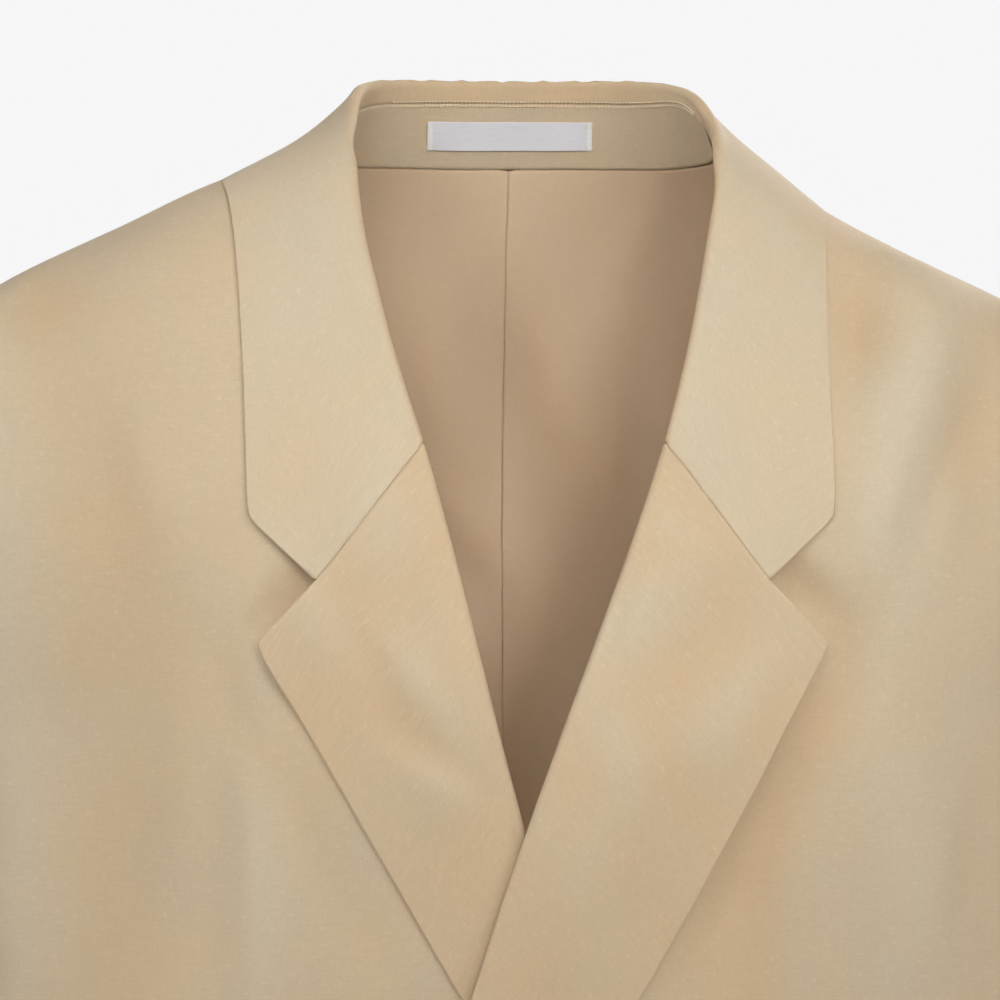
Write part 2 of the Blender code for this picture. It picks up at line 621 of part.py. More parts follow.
def build_lapel(side, name, finish):
    """Turned-back lapel: the strip behind the front, the roll, and the leaf over the front."""
    outer = side > 0
    steps = np.linspace(0.0, LAPEL_END, LAPEL_STEPS + 1)
    stations = [roll_station(GORGE_Z + (BREAK_Z - GORGE_Z) * step, side, LAPEL_REACH)
                for step in steps]
    rolled = turned_edge(stations, LAPEL_REACH)[0]
    leaf = []
    for step, station in zip(steps, stations):
        edge_z = LAPEL_TIP_Z + (BREAK_Z - LAPEL_TIP_Z) * step
        edge_x = float(eased(LAPEL_EDGE, "outer_x" if outer else "inner_x", edge_z))
        bend = 1.0 - ramp(step, 0.0, 0.15)
        leaf.append([on_leaf(station.seam_at, (edge_x, edge_z), share, bend, side, outer)
                     for share in LEAF_SHARES])
    leaf_wall(name, rolled, leaf, LAPEL_CLOTH, finish, (0, -1, 0), first_row=SEAM_GAP / 2)


# ------------------------------------------------------------------ sleeves
def arm_point(turn, z):
    """The sleeve below the armhole; turn is 0 outside, 90 at the front and 180 inside."""
    angle = radians(turn)
    half_x, half_y = eased(ARM, "half_x", z), eased(ARM, "half_y", z)
    rise = 0.0
    for fold in ARM_FOLDS:
        turned = (turn - fold.turn + 180.0) % 360.0 - 180.0
        height = (z - fold.z - fold.climb * turned) / fold.half_height
        rise += fold.high * np.exp(-(turned / fold.half_turn)**2 - height**2)
    return np.array([eased(ARM, "x", z) + (half_x + rise) * cos(angle),
                     eased(ARM, "y", z) - (half_y + rise) * sin(angle), z])


def sleeve_line(turn, side):
    """Points down a sleeve at one turn, from the armhole to the cuff, as on the left."""
    body_turn, z = armhole(radians(turn))
    start = cloth(for_side(side, body_turn), z) * np.array([side, 1.0, 1.0])
    end = arm_point(turn, ARM[0].z)
    share = (1.0 + cos(radians(turn))) / 2.0
    out = unit(np.array([0.62 + 0.30 * share, 0.0, -0.78 + 0.34 * share]))
    down = np.array([0.03, 0.0, -1.0])
    size = np.linalg.norm(end - start)
    start = start + out * SLEEVE_GAP
    line = []
    for u in np.linspace(0.0, 1.0, CAP_STEPS + 1):
        line.append((2 * u**3 - 3 * u**2 + 1) * start + (u**3 - 2 * u**2 + u) * size * out
                    + (3 * u**2 - 2 * u**3) * end + (u**3 - u**2) * size * down)
    line += [arm_point(turn, z) for z in np.linspace(ARM[0].z, ARM[-1].z, ARM_STEPS + 1)[1:]]
    return line


def sleeve_turns():
    """Turns of the sleeve lines, at the panel lines of the armhole: top sleeve, under sleeve."""
    front = [(s, np.degrees(armhole_angle(s))) for s in FRONT_LINES[::-1] if s > SEAM_SHARE]
    back = [(s, -np.degrees(armhole_angle(s))) for s in BACK_LINES if s > SEAM_SHARE]
    side = [180.0 - np.degrees(np.arcsin(turn / ARMHOLE_HALF_TURN)) for turn in SIDE_TURNS[::-1]]
    top = [turn for s, turn in back + front[1:] if s >= SLEEVE_SEAM_SHARE]
    under = [turn for s, turn in front if s <= SLEEVE_SEAM_SHARE] + side
    return top, under + [turn + 360.0 for s, turn in back if s <= SLEEVE_SEAM_SHARE]


def build_sleeve(side, word, finish):
    """Top and under sleeve, cut from one tube so that their walls match at the seams."""
    top, under = sleeve_turns()
    turns = top + under[1:-1]
    tube = np.array([sleeve_line(turn, side) for turn in turns]).transpose(1, 0, 2)
    tube = tube * np.array([side, 1.0, 1.0])
    wrapped = np.concatenate([tube[:, -2:], tube, tube[:, :2]], axis=1)
    normals = -side * grid_normals(wrapped)[:, 2:-2]
    half = SEAM_GAP / 2
    split = len(top)
    pieces = {"top": list(range(split)), "under": list(range(split - 1, len(turns))) + [0]}
    for piece, columns in pieces.items():
        grid = inset(tube[:, columns], first_col=half, last_col=half)
        wall(f"sleeve_{piece}_{word}", grid, CLOTH, finish, None, normals[:, columns])


# ------------------------------------------------------------------ buttons
ProfileRow = namedtuple("ProfileRow", "radius_share height_share")
BUTTON_PROFILE = (
    ProfileRow(0.70, 0.00),
    ProfileRow(1.00, 0.35),
    ProfileRow(1.00, 0.75),
    ProfileRow(0.90, 1.00),
    ProfileRow(0.74, 0.80),
)


def button_mesh():
    """A dished button, its back on the plane z = 0."""
    body = bmesh.new()
    rings = []
    for row in BUTTON_PROFILE:
        radius = row.radius_share * BUTTON_RADIUS
        angles = [2.0 * pi * i / BUTTON_SIDES for i in range(BUTTON_SIDES)]
        rings.append([body.verts.new((radius * cos(a), radius * sin(a), row.height_share * BUTTON_HEIGHT))
                      for a in angles])
    for low, high in zip(rings, rings[1:]):
        for i in range(BUTTON_SIDES):
            j = (i + 1) % BUTTON_SIDES
            body.faces.new((low[i], low[j], high[j], high[i]))
    body.faces.new(rings[0][::-1])
    body.faces.new(rings[-1])
    bmesh.ops.recalc_face_normals(body, faces=body.faces)
    data = bpy.data.meshes.new("button")
    body.to_mesh(data)
    body.free()
    return data


def button_cutter():
    """Four thread holes, as a cutter."""
    made = bmesh.new()
    for sx in (-1, 1):
        for sy in (-1, 1):
            place = Matrix.Translation((sx * BUTTON_HOLE_OFFSET, sy * BUTTON_HOLE_OFFSET, BUTTON_HEIGHT / 2))
            bmesh.ops.create_cone(made, cap_ends=True, segments=6, radius1=BUTTON_HOLE_RADIUS,
                                  radius2=BUTTON_HOLE_RADIUS, depth=BUTTON_HEIGHT * 3, matrix=place)
    data = bpy.data.meshes.new("button_holes")
    made.to_mesh(data)
    made.free()
    cutter = bpy.data.objects.new("button_holes", data)
    cutter.hide_render = True
    cutter.display_type = "WIRE"
    bpy.context.scene.collection.objects.link(cutter)
    return cutter


def build_button(name, x, z, finish):
    turn = turn_at(x, z)
    out = Vector(form_normal(turn, z))
    frame = out.to_track_quat("Z", "Y").to_matrix().to_4x4()
    frame.translation = Vector(cloth(turn, z, outer=True)) + out * BUTTON_SEAT
    made = add_object(name, button_mesh(), finish)
    made.matrix_world = frame
    cutter = button_cutter()
    cutter.matrix_world = frame
    cut = made.modifiers.new("holes", "BOOLEAN")
    cut.operation = "DIFFERENCE"
    cut.object = cutter


# ------------------------------------------------------------------ the blazer
def build():
    for item in list(bpy.data.objects):
        bpy.data.objects.remove(item, do_unlink=True)
    linen = material("linen_cloth", (0.62, 0.52, 0.37), 0.85)
    lining = material("lining_cloth", (0.50, 0.38, 0.26), 0.80)
    satin = material("label_satin", (0.68, 0.68, 0.72), 0.45)
    horn = material("button_horn", (0.40, 0.29, 0.18), 0.35)
    for side, word in ((1, "left"), (-1, "right")):
        build_front(side, f"front_{word}", linen)
        build_side(side, f"side_{word}", linen)
        build_back(side, f"back_{word}", linen)
        build_lining(side, f"lining_back_{word}", lining)
        build_lapel(side, f"lapel_{word}", linen)
        build_sleeve(side, word, linen)
    stations = collar_stations()
    foot, crest, inward = build_collar(stations, linen)
    bottom, top = build_stand(stations, foot, crest, inward, linen)
    build_label(bottom, top, satin)
    for row, z in BUTTON_ROWS.items():
        build_button(f"button_{row}_left", BUTTON_X, z, horn)
        build_button(f"button_{row}_right", -BUTTON_X, z, horn)


build()
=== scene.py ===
"""Looks of a double-breasted blazer, in its worn shape with no wearer.

Metres, +Z up. The front faces -Y and +X is the wearer's left. The origin lies in the neck, level
with the points where the shoulder seams meet the collar.

The body is one form: a point on it is given by its turn about the form, in degrees, and its
height. A turn of 0 is the wearer's left side, 90 the centre front, 180 the right side and -90
the centre back. Every cloth piece is a thin shell on the form of its own solid.
"""
import logging
from dataclasses import dataclass, field
from enum import Enum
from itertools import product
from math import cos, pi, radians, sin
from typing import NamedTuple, Optional, Sequence, Union

import bmesh
import bpy
import numpy as np
from mathutils import Matrix, Vector


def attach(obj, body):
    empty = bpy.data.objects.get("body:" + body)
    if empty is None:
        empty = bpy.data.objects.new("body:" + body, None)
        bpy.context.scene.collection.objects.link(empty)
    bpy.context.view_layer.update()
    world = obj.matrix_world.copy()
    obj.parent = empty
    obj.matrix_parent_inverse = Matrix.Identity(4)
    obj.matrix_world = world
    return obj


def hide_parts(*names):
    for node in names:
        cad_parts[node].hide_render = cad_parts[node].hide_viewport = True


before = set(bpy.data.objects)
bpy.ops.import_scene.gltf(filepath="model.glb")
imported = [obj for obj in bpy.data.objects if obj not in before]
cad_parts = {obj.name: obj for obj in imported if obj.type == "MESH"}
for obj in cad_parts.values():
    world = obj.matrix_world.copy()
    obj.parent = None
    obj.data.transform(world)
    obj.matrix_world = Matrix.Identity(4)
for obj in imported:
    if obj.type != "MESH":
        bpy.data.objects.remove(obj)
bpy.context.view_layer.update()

LOG = logging.getLogger("blazer")
BODY = "root"
LINEN, LINING, SATIN = "linen_cloth", "lining_cloth", "label_satin"
HORN, THREAD = "button_horn", "cream_thread"
Piece = bpy.types.Object
Triple = tuple[float, float, float]
Colour = Triple
Array = np.ndarray

# ------ sizes
# Walls of the shells, and the gaps that they leave at the seams.
CLOTH = 0.0012
LAPEL_CLOTH = 0.0016
COLLAR_CLOTH = 0.0016
LINING_CLOTH = 0.0010
LABEL_CLOTH = 0.0005
SEAM_GAP = 0.0001
HALF_GAP = SEAM_GAP / 2
SLEEVE_TUCK = 0.0013

# Hem, overlap of the fronts below the lapels, and half the side bodies' width in degrees.
HEM_Z = -0.735
OVERLAP = 0.074
BREAK_Z = -0.480
SIDE_TURN = 19.0

ARMHOLE_Z = -0.156
ARMHOLE_HALF_HEIGHT = 0.085
ARMHOLE_HALF_TURN = 31.0

# How the whole garment leans on its shoulders.
LEAN_DROP = 0.0065
LEAN_START_X = 0.064
LEAN_RUN_X = 0.083
LEAN_START_Z = -0.156
LEAN_RUN_Z = 0.074

# How the outer front stands off the inner one.
LIFT = 0.0085
LIFT_FULL_X = 0.080
LIFT_RUN_X = 0.075
LIFT_START_Z = -0.184
LIFT_RUN_Z = 0.078

# The turned edges of the collar and lapels, and the leaves that lie on the fronts.
TURN_RADIUS = 0.0027
TURN_TUCK = 0.0058
TUCK_RUN = 0.030
COLLAR_REACH = 0.0068
LAPEL_REACH = 0.0100
LEAF_LIFT = 0.0032
BRIDGE_RISE = 0.0012
GORGE_Z = -0.1255
NOTCH = (0.0906, -0.1812)
NOTCH_SHARE = 0.62
LAPEL_TIP_Z = -0.2063
LAPEL_END = 0.975
BAND_GAP = 0.0001
STAND_GAP = -0.0004

# Shares of a border at which it meets its next part, and powers that space its lines.
SEAM_SHARE = 0.50
NECK_SHARE = 0.75
SLEEVE_SEAM_SHARE = 0.60
LINING_FIRST_SHARE = 0.35
LINING_COLUMNS = 0.88
FRONT_POWER = 1.45
BACK_POWER = 1.20

# Places round the neck, in rows of its table.
SHOULDER_ROW = 4
STAND_ROWS = 3.7
LIES_FROM = 4.1
LIES_RUN = 2.2
BEND_RUN = 1.5


class FormRow(NamedTuple):
    """One height of the body form."""

    z: float
    half_width: float
    front_depth: float
    back_depth: float


class RollRow(NamedTuple):
    """Distance of the roll line from the centre, on the outer and the inner front."""

    z: float
    outer_x: float
    inner_x: float


class NeckRow(NamedTuple):
    """Turned edge, seam and free edge of the collar at one place round the neck."""

    fold_x: float
    fold_shift: float
    fold_y: float
    fold_z: float
    seam_turn: float
    seam_z: float
    edge_x: float
    edge_z: float


class LeafRow(NamedTuple):
    """Free edge of the collar where its turned edge follows the roll line."""

    fold_z: float
    edge_x: float
    edge_z: float


class Fold(NamedTuple):
    """A soft ridge of the body where high is positive, and a trough where it is negative."""

    x: float
    z: float
    half_length: float
    half_width: float
    lean: float
    high: float


class ArmRow(NamedTuple):
    """One height of a sleeve."""

    z: float
    x: float
    y: float
    half_x: float
    half_y: float


class ArmFold(NamedTuple):
    """A fold across a sleeve; climb is its rise per degree of turn."""

    turn: float
    z: float
    half_turn: float
    half_height: float
    climb: float
    high: float


class Wave(NamedTuple):
    """A faint waviness of the cloth, over its width and its height."""

    length_x: float
    length_z: float
    start: float
    high: float


def table(kind: type, *rows: Sequence[float]) -> tuple:
    """A table of rows of one kind."""
    return tuple(kind(*row) for row in rows)


FORM = table(
    FormRow,
    (0.000, 0.0850, 0.0480, 0.0685),
    (-0.037, 0.1600, 0.0680, 0.0830),
    (-0.071, 0.2265, 0.0855, 0.0930),
    (-0.101, 0.2535, 0.0995, 0.1000),
    (-0.147, 0.2620, 0.1140, 0.1060),
    (-0.193, 0.2510, 0.1225, 0.1080),
    (-0.241, 0.2360, 0.1260, 0.1070),
    (-0.330, 0.2345, 0.1220, 0.1010),
    (-0.430, 0.2325, 0.1180, 0.0950),
    (-0.560, 0.2360, 0.1200, 0.1000),
    (-0.760, 0.2460, 0.1260, 0.1100),
)
ROLL = table(
    RollRow,
    (-0.0175, 0.0777, 0.0710),
    (-0.0386, 0.0722, 0.0690),
    (-0.0635, 0.0667, 0.0637),
    (-0.0883, 0.0605, 0.0582),
    (-0.1255, 0.0497, 0.0470),
    (-0.2788, -0.0075, 0.0082),
    (-0.3478, -0.0297, -0.0140),
    (-0.4800, -0.0740, -0.0740),
)
LAPEL_EDGE = table(
    RollRow,
    (-0.2063, 0.1137, 0.1139),
    (-0.2760, 0.0758, 0.0742),
    (-0.3444, 0.0384, 0.0348),
    (-0.4050, -0.0010, -0.0030),
    (-0.4520, -0.0410, -0.0420),
    (-0.4800, -0.0740, -0.0740),
)
NECK = table(
    NeckRow,
    (0.0000, 0.0000, 0.0645, 0.0320, -90.0, -0.0048, 0.0000, -0.0330),
    (0.0275, 0.0000, 0.0620, 0.0320, -66.0, -0.0048, 0.0415, -0.0325),
    (0.0515, 0.0000, 0.0497, 0.0313, -45.0, -0.0044, 0.0828, -0.0304),
    (0.0697, 0.0039, 0.0276, 0.0267, -22.0, -0.0028, 0.1120, -0.0258),
    (0.0750, 0.0055, -0.0028, 0.0115, 0.0, 0.0000, 0.1258, -0.0218),
    (0.0754, 0.0038, -0.0220, 0.0042, 23.0, -0.0037, 0.1236, -0.0300),
    (0.0753, 0.0030, -0.0354, -0.0053, 39.0, -0.0083, 0.1222, -0.0420),
)
LEAF = table(
    LeafRow,
    (-0.0175, 0.1213, -0.0560),
    (-0.0414, 0.1200, -0.0810),
    (-0.0810, 0.1187, -0.1180),
    (GORGE_Z, 0.1175, -0.1564),
)
FRONT_FOLDS = table(
    Fold,
    (0.149, -0.112, 0.060, 0.018, -16.0, 0.0095),
    (0.184, -0.118, 0.055, 0.018, -15.0, -0.0070),
    (0.150, -0.290, 0.100, 0.028, 4.0, 0.0050),
    (-0.220, -0.240, 0.190, 0.020, 3.0, 0.0120),
    (-0.170, -0.215, 0.125, 0.025, 3.0, -0.0072),
    (-0.145, -0.400, 0.110, 0.026, -8.0, 0.0050),
    (0.135, -0.540, 0.110, 0.028, 10.0, -0.0035),
    (-0.155, -0.590, 0.090, 0.030, 3.0, 0.0035),
)
BACK_FOLDS = table(
    Fold,
    (0.150, -0.230, 0.110, 0.020, -12.0, 0.0062),
    (-0.155, -0.220, 0.100, 0.021, 13.0, 0.0062),
    (0.095, -0.380, 0.120, 0.020, -6.0, -0.0055),
    (-0.080, -0.400, 0.120, 0.022, 5.0, -0.0055),
    (0.060, -0.600, 0.110, 0.026, -4.0, 0.0050),
    (-0.110, -0.590, 0.100, 0.024, 6.0, 0.0050),
)
# Smaller creases, on the shells only.
FRONT_CREASES = table(
    Fold,
    (-0.203, -0.076, 0.022, 0.013, -35.0, -0.0045),
    (-0.112, -0.270, 0.150, 0.012, 1.0, 0.0034),
    (-0.131, -0.300, 0.120, 0.011, -2.0, -0.0024),
    (0.131, -0.082, 0.034, 0.010, -12.0, -0.0045),
    (0.141, -0.182, 0.050, 0.016, 4.0, 0.0045),
    (-0.160, -0.130, 0.034, 0.012, 14.0, 0.0028),
    (-0.176, -0.250, 0.050, 0.012, -10.0, 0.0026),
    (0.134, -0.070, 0.020, 0.013, 20.0, -0.0040),
    (0.168, -0.155, 0.030, 0.011, -15.0, 0.0034),
    (0.150, -0.225, 0.050, 0.012, 8.0, -0.0026),
    (0.176, -0.300, 0.060, 0.012, -6.0, -0.0026),
    (0.176, -0.215, 0.055, 0.011, 12.0, 0.0012),
    (0.118, -0.330, 0.080, 0.012, -6.0, -0.0010),
    (-0.118, -0.300, 0.075, 0.012, 8.0, 0.0011),
    (-0.184, -0.330, 0.070, 0.010, -5.0, -0.0010),
    (0.070, -0.560, 0.050, 0.010, 24.0, 0.0012),
    (-0.090, -0.520, 0.060, 0.011, -18.0, -0.0011),
    (0.170, -0.430, 0.070, 0.012, 10.0, 0.0013),
    (-0.170, -0.470, 0.065, 0.012, -12.0, 0.0012),
)
BACK_CREASES = table(
    Fold,
    (0.060, -0.150, 0.050, 0.012, -34.0, 0.0011),
    (-0.070, -0.160, 0.055, 0.012, 31.0, 0.0012),
    (0.130, -0.330, 0.065, 0.011, 12.0, 0.0012),
    (-0.120, -0.310, 0.060, 0.011, -9.0, 0.0011),
    (0.030, -0.470, 0.075, 0.013, 7.0, -0.0011),
    (-0.040, -0.500, 0.070, 0.012, -6.0, 0.0010),
)
# Where the fronts sink away beside the standing edges of the lapels.
LAPEL_DIPS = table(
    Fold,
    (0.094, -0.266, 0.085, 0.0135, -28.0, -0.0100),
    (0.080, -0.335, 0.050, 0.015, -8.0, -0.0055),
    (0.104, -0.184, 0.022, 0.0095, 43.0, -0.0070),
    (-0.104, -0.190, 0.022, 0.0080, -43.0, -0.0060),
    (-0.098, -0.275, 0.085, 0.011, 29.0, -0.0030),
)
LEAF_DENTS = table(
    Fold,
    (0.058, -0.212, 0.036, 0.012, -41.0, -0.0014),
    (0.036, -0.196, 0.030, 0.012, -41.0, 0.0030),
    (0.078, -0.226, 0.034, 0.011, -38.0, 0.0026),
    (0.052, -0.160, 0.016, 0.008, 34.0, 0.0022),
    (0.046, -0.262, 0.024, 0.012, 30.0, -0.0014),
    (0.030, -0.250, 0.026, 0.010, 30.0, 0.0024),
    (0.020, -0.285, 0.030, 0.012, -20.0, 0.0020),
    (-0.072, -0.208, 0.028, 0.010, 35.0, -0.0014),
    (-0.090, -0.196, 0.030, 0.010, 35.0, 0.0022),
    (-0.056, -0.216, 0.026, 0.010, 35.0, 0.0030),
    (-0.064, -0.160, 0.018, 0.010, -20.0, 0.0020),
    (-0.052, -0.244, 0.022, 0.009, 52.0, -0.0013),
    (-0.044, -0.262, 0.018, 0.009, 52.0, 0.0022),
)
LINING_FOLDS = table(
    Fold,
    (-0.060, -0.120, 0.050, 0.010, -8.0, -0.0046),
    (-0.030, -0.110, 0.045, 0.009, 10.0, -0.0034),
    (0.020, -0.100, 0.045, 0.011, 12.0, -0.0044),
    (0.046, -0.150, 0.060, 0.012, -6.0, -0.0050),
    (-0.040, -0.200, 0.040, 0.012, 24.0, -0.0050),
    (0.012, -0.215, 0.045, 0.012, -16.0, -0.0044),
    (0.074, -0.090, 0.045, 0.010, 5.0, -0.0036),
    (-0.080, -0.180, 0.070, 0.012, 4.0, -0.0040),
    (-0.012, -0.165, 0.030, 0.009, 40.0, -0.0034),
)
WAVES = table(
    Wave,
    (0.071, 0.160, 0.3, 0.00022),
    (0.047, 0.093, 1.9, 0.00014),
    (-0.083, 0.120, 4.1, 0.00020),
    (0.031, -0.064, 2.6, 0.00008),
)
# Depths at which a fold or a dent takes its full painted shade, or on a ridge its full painted
# light.
FOLD_DEPTH = 0.0075
DENT_DEPTH = 0.0030
# Turns from the side over which the folds fade in.
FOLD_FREE_TURN = 8.0
FOLD_FADE_TURN = 18.0
ARM = table(
    ArmRow,
    (-0.275, 0.2930, 0.000, 0.0505, 0.0690),
    (-0.350, 0.2955, -0.004, 0.0485, 0.0655),
    (-0.430, 0.2965, -0.009, 0.0460, 0.0610),
    (-0.510, 0.2970, -0.018, 0.0430, 0.0565),
    (-0.590, 0.2965, -0.030, 0.0395, 0.0520),
    (-0.675, 0.2950, -0.044, 0.0365, 0.0475),
)
ARM_FOLDS = table(
    ArmFold,
    (85.0, -0.335, 60.0, 0.020, 0.00030, -0.0035),
    (95.0, -0.425, 55.0, 0.018, -0.00035, -0.0040),
    (70.0, -0.485, 50.0, 0.018, 0.00030, -0.0035),
    (-80.0, -0.390, 60.0, 0.020, -0.00030, -0.0030),
)
ARM_CREASES = table(
    ArmFold,
    (105.0, -0.455, 38.0, 0.009, 0.00040, -0.0016),
    (60.0, -0.400, 40.0, 0.010, 0.00050, 0.0014),
    (75.0, -0.560, 45.0, 0.012, -0.00030, -0.0014),
    (-60.0, -0.455, 42.0, 0.011, 0.00040, 0.0014),
    (-95.0, -0.330, 46.0, 0.012, 0.00030, 0.0013),
    (20.0, -0.620, 50.0, 0.014, 0.00020, 0.0010),
)


# ------ curves and vectors
def cubic(u: Array, start: Array, leave: Array, end: Array, arrive: Array) -> Array:
    """A cubic between two values.

    Args:
        u: places along it, from 0 to 1.
        start: value or points that it leaves.
        leave: speed at which it leaves them.
        end: value or points that it reaches.
        arrive: speed at which it arrives.

    Returns:
        Its values at the places.
    """
    return ((2 * u**3 - 3 * u**2 + 1) * start + (u**3 - 2 * u**2 + u) * leave
            + (3 * u**2 - 2 * u**3) * end + (u**3 - u**2) * arrive)


class Curve:
    """A smooth curve through values at given places, with no overshoot."""

    def __init__(self, places: Sequence[float], values: Sequence[float]) -> None:
        """Works out the slopes at the places, which are in rising order."""
        self.knots = np.array(places, float)
        self.values = np.array(values, float)
        slopes = np.diff(self.values) / np.diff(self.knots)
        same = slopes[:-1] * slopes[1:] > 0
        sums = np.where(same, slopes[:-1] + slopes[1:], 1.0)
        middle = np.where(same, 2.0 * slopes[:-1] * slopes[1:] / sums, 0.0)
        self.tangents = np.concatenate([slopes[:1], middle, slopes[-1:]])

    @classmethod
    def of(cls, rows: Sequence[NamedTuple], column: str) -> "Curve":
        """The curve of one column of a table against the table's first."""
        rows = sorted(rows)
        return cls([row[0] for row in rows], [getattr(row, column) for row in rows])

    def __call__(self, at: Union[float, Array]) -> Array:
        """The value at a place, or at an array of places."""
        at = np.clip(at, self.knots[0], self.knots[-1])
        i = np.clip(np.searchsorted(self.knots, at) - 1, 0, len(self.knots) - 2)
        span = self.knots[i + 1] - self.knots[i]
        return cubic((at - self.knots[i]) / span, self.values[i], span * self.tangents[i],
                     self.values[i + 1], span * self.tangents[i + 1])


def through(values: Sequence[float]) -> Curve:
    """A smooth curve through values at the places 0, 1, 2 and so on."""
    return Curve(range(len(values)), values)


def ramp(value: Union[float, Array], start: float, run: float) -> Array:
    """0 before start, 1 after start + run, smooth between."""
    u = np.clip((np.asarray(value, float) - start) / run, 0.0, 1.0)
    return u * u * (3.0 - 2.0 * u)


def unit(vectors: Array) -> Array:
    """The vectors, each made one long."""
    return vectors / np.maximum(np.linalg.norm(vectors, axis=-1, keepdims=True), 1e-12)


def strides(points: Array, axis: int = 0) -> Array:
    """Distances between neighbouring points along an axis of a grid."""
    return np.linalg.norm(np.diff(points[..., :3], axis=axis), axis=-1)


def travelled(lengths: Array, axis: int = 0) -> Array:
    """Running totals of lengths, from 0."""
    return np.insert(np.cumsum(lengths, axis=axis), 0, 0.0, axis=axis)


def eased_lines(grid: Array, passes: int) -> Array:
    """The grid with the bends from row to row softened; its two end rows stay.

    Args:
        grid: rows of points.
        passes: how often they are softened.

    Returns:
        The softened rows.
    """
    grid = grid.copy()
    for _ in range(passes):
        grid[1:-1] += 0.25 * (grid[:-2] + grid[2:] - 2.0 * grid[1:-1])
    return grid


# ------ the form
HALF_WIDTH, FRONT_DEPTH, BACK_DEPTH = [Curve.of(FORM, name) for name in FormRow._fields[1:]]
OUTER_ROLL, INNER_ROLL = [Curve.of(ROLL, name) for name in RollRow._fields[1:]]


@dataclass(frozen=True)
class Form:
    """The worn shape of the body, which every panel, lapel and sleeve starts from."""

    front_fullness: float = 0.15
    back_fullness: float = 0.22
    front_folds: tuple[Fold, ...] = FRONT_FOLDS + FRONT_CREASES
    back_folds: tuple[Fold, ...] = BACK_FOLDS + BACK_CREASES
    turn_step: float = 0.02
    height_step: float = 0.0001
    around_steps: int = 25

    def bare(self, turn: Array, z: Array) -> Array:
        """Points of the form with no folds.

        Args:
            turn: turns about the form, in degrees.
            z: heights.

        Returns:
            The points, one for each pair of turn and height.
        """
        angle = np.radians(turn)
        across, toward = np.cos(angle), np.sin(angle)
        x = HALF_WIDTH(z) * across
        front = -FRONT_DEPTH(z) * toward * (1.0 + self.front_fullness * across**2)
        back = -BACK_DEPTH(z) * toward * (1.0 + self.back_fullness * across**2)
        return np.stack([x, np.where(toward > 0, front, back), z + 0.0 * x], axis=-1)

    def normal(self, turn: Array, z: Array) -> Array:
        """Directions square to the form, outward."""
        around = self.bare(turn + self.turn_step, z) - self.bare(turn - self.turn_step, z)
        along = self.bare(turn, z + self.height_step) - self.bare(turn, z - self.height_step)
        return unit(np.cross(along, around))

    def folded(self, x: Array, z: Array, folds: Sequence[Fold]) -> Array:
        """Height of the folds and waves at places on the cloth.

        Args:
            x: distances across.
            z: heights.
            folds: the folds that lie there.

        Returns:
            Heights square to the form.
        """
        total = np.zeros_like(x)
        for fold in folds:
            lean = radians(fold.lean)
            dx, dz = x - fold.x, z - fold.z
            across = dx * cos(lean) + dz * sin(lean)
            along = dz * cos(lean) - dx * sin(lean)
            away = (across / fold.half_width)**2 + (along / fold.half_length)**2
            total += fold.high * np.exp(-away)
        for wave in WAVES:
            turns = x / wave.length_x + z / wave.length_z
            total += wave.high * np.sin(2.0 * pi * turns + wave.start)
        return total

    def raised(self, turn: Array, z: Array) -> Array:
        """Height of the folds at points of the form; they fade toward the side bodies.

        Args:
            turn: turns about the form, in degrees.
            z: heights.

        Returns:
            Heights square to the form.
        """
        x, toward = HALF_WIDTH(z) * np.cos(np.radians(turn)), np.sin(np.radians(turn))
        folds = np.where(toward > 0, self.folded(x, z, self.front_folds),
                         self.folded(x, z, self.back_folds))
        from_side = np.degrees(np.arcsin(np.clip(np.abs(toward), 0.0, 1.0)))
        return folds * ramp(from_side, FOLD_FREE_TURN, FOLD_FADE_TURN)

    def hollow(self, turn: Array, z: Array) -> Array:
        """Painted shading by fold depth: 1 in a deep trough (painted shade), -1 on a high ridge
        (painted light).
        """
        return np.clip(-self.raised(turn, z) / FOLD_DEPTH, -1.0, 1.0)

    def cloth(self, turn: Array, z: Array, off: float = 0.0, outer: bool = False) -> Array:
        """Points of the worn cloth.

        Args:
            turn: turns about the form, in degrees.
            z: heights.
            off: distance that the points are moved out, square to the form.
            outer: whether they lie on the outer front.

        Returns:
            The points, one for each pair of turn and height.
        """
        turn, z = np.broadcast_arrays(np.asarray(turn, float), np.asarray(z, float))
        at = self.bare(turn, z)
        x = at[..., 0]
        toward = np.sin(np.radians(turn))
        rise = off + self.raised(turn, z)
        if outer:
            lift = (1.0 - ramp(x, LIFT_FULL_X, LIFT_RUN_X)) * ramp(-z, -LIFT_START_Z, LIFT_RUN_Z)
            rise = rise + LIFT * lift * (toward > 0)
        return at + self.normal(turn, z) * rise[..., None]

    def around(self, turn: Array, z: Array, centre: float) -> Array:
        """Distance round the form from a centre turn, which the weave is laid by.

        Args:
            turn: turns about the form, in degrees.
            z: heights.
            centre: the turn that lengths are measured from.

        Returns:
            Lengths, below 0 before the centre.
        """
        shares = np.linspace(0.0, 1.0, self.around_steps).reshape(-1, *([1] * np.ndim(turn)))
        line = self.bare(centre + (turn - centre) * shares, z + 0.0 * shares * turn)
        return strides(line).sum(axis=0) * np.sign(turn - centre)


FORM_SHAPE = Form(front_folds=FRONT_FOLDS + FRONT_CREASES + LAPEL_DIPS)
LEAF_SHAPE = Form(front_folds=FRONT_FOLDS + FRONT_CREASES + LEAF_DENTS)
LINING_SHAPE = Form(back_folds=BACK_FOLDS + BACK_CREASES + LINING_FOLDS)


def turn_at(x: Array, z: Array) -> Array:
    """The turn of a point on the front, from its distance across and its height."""
    return np.degrees(np.arccos(np.clip(x / HALF_WIDTH(z), -1.0, 1.0)))


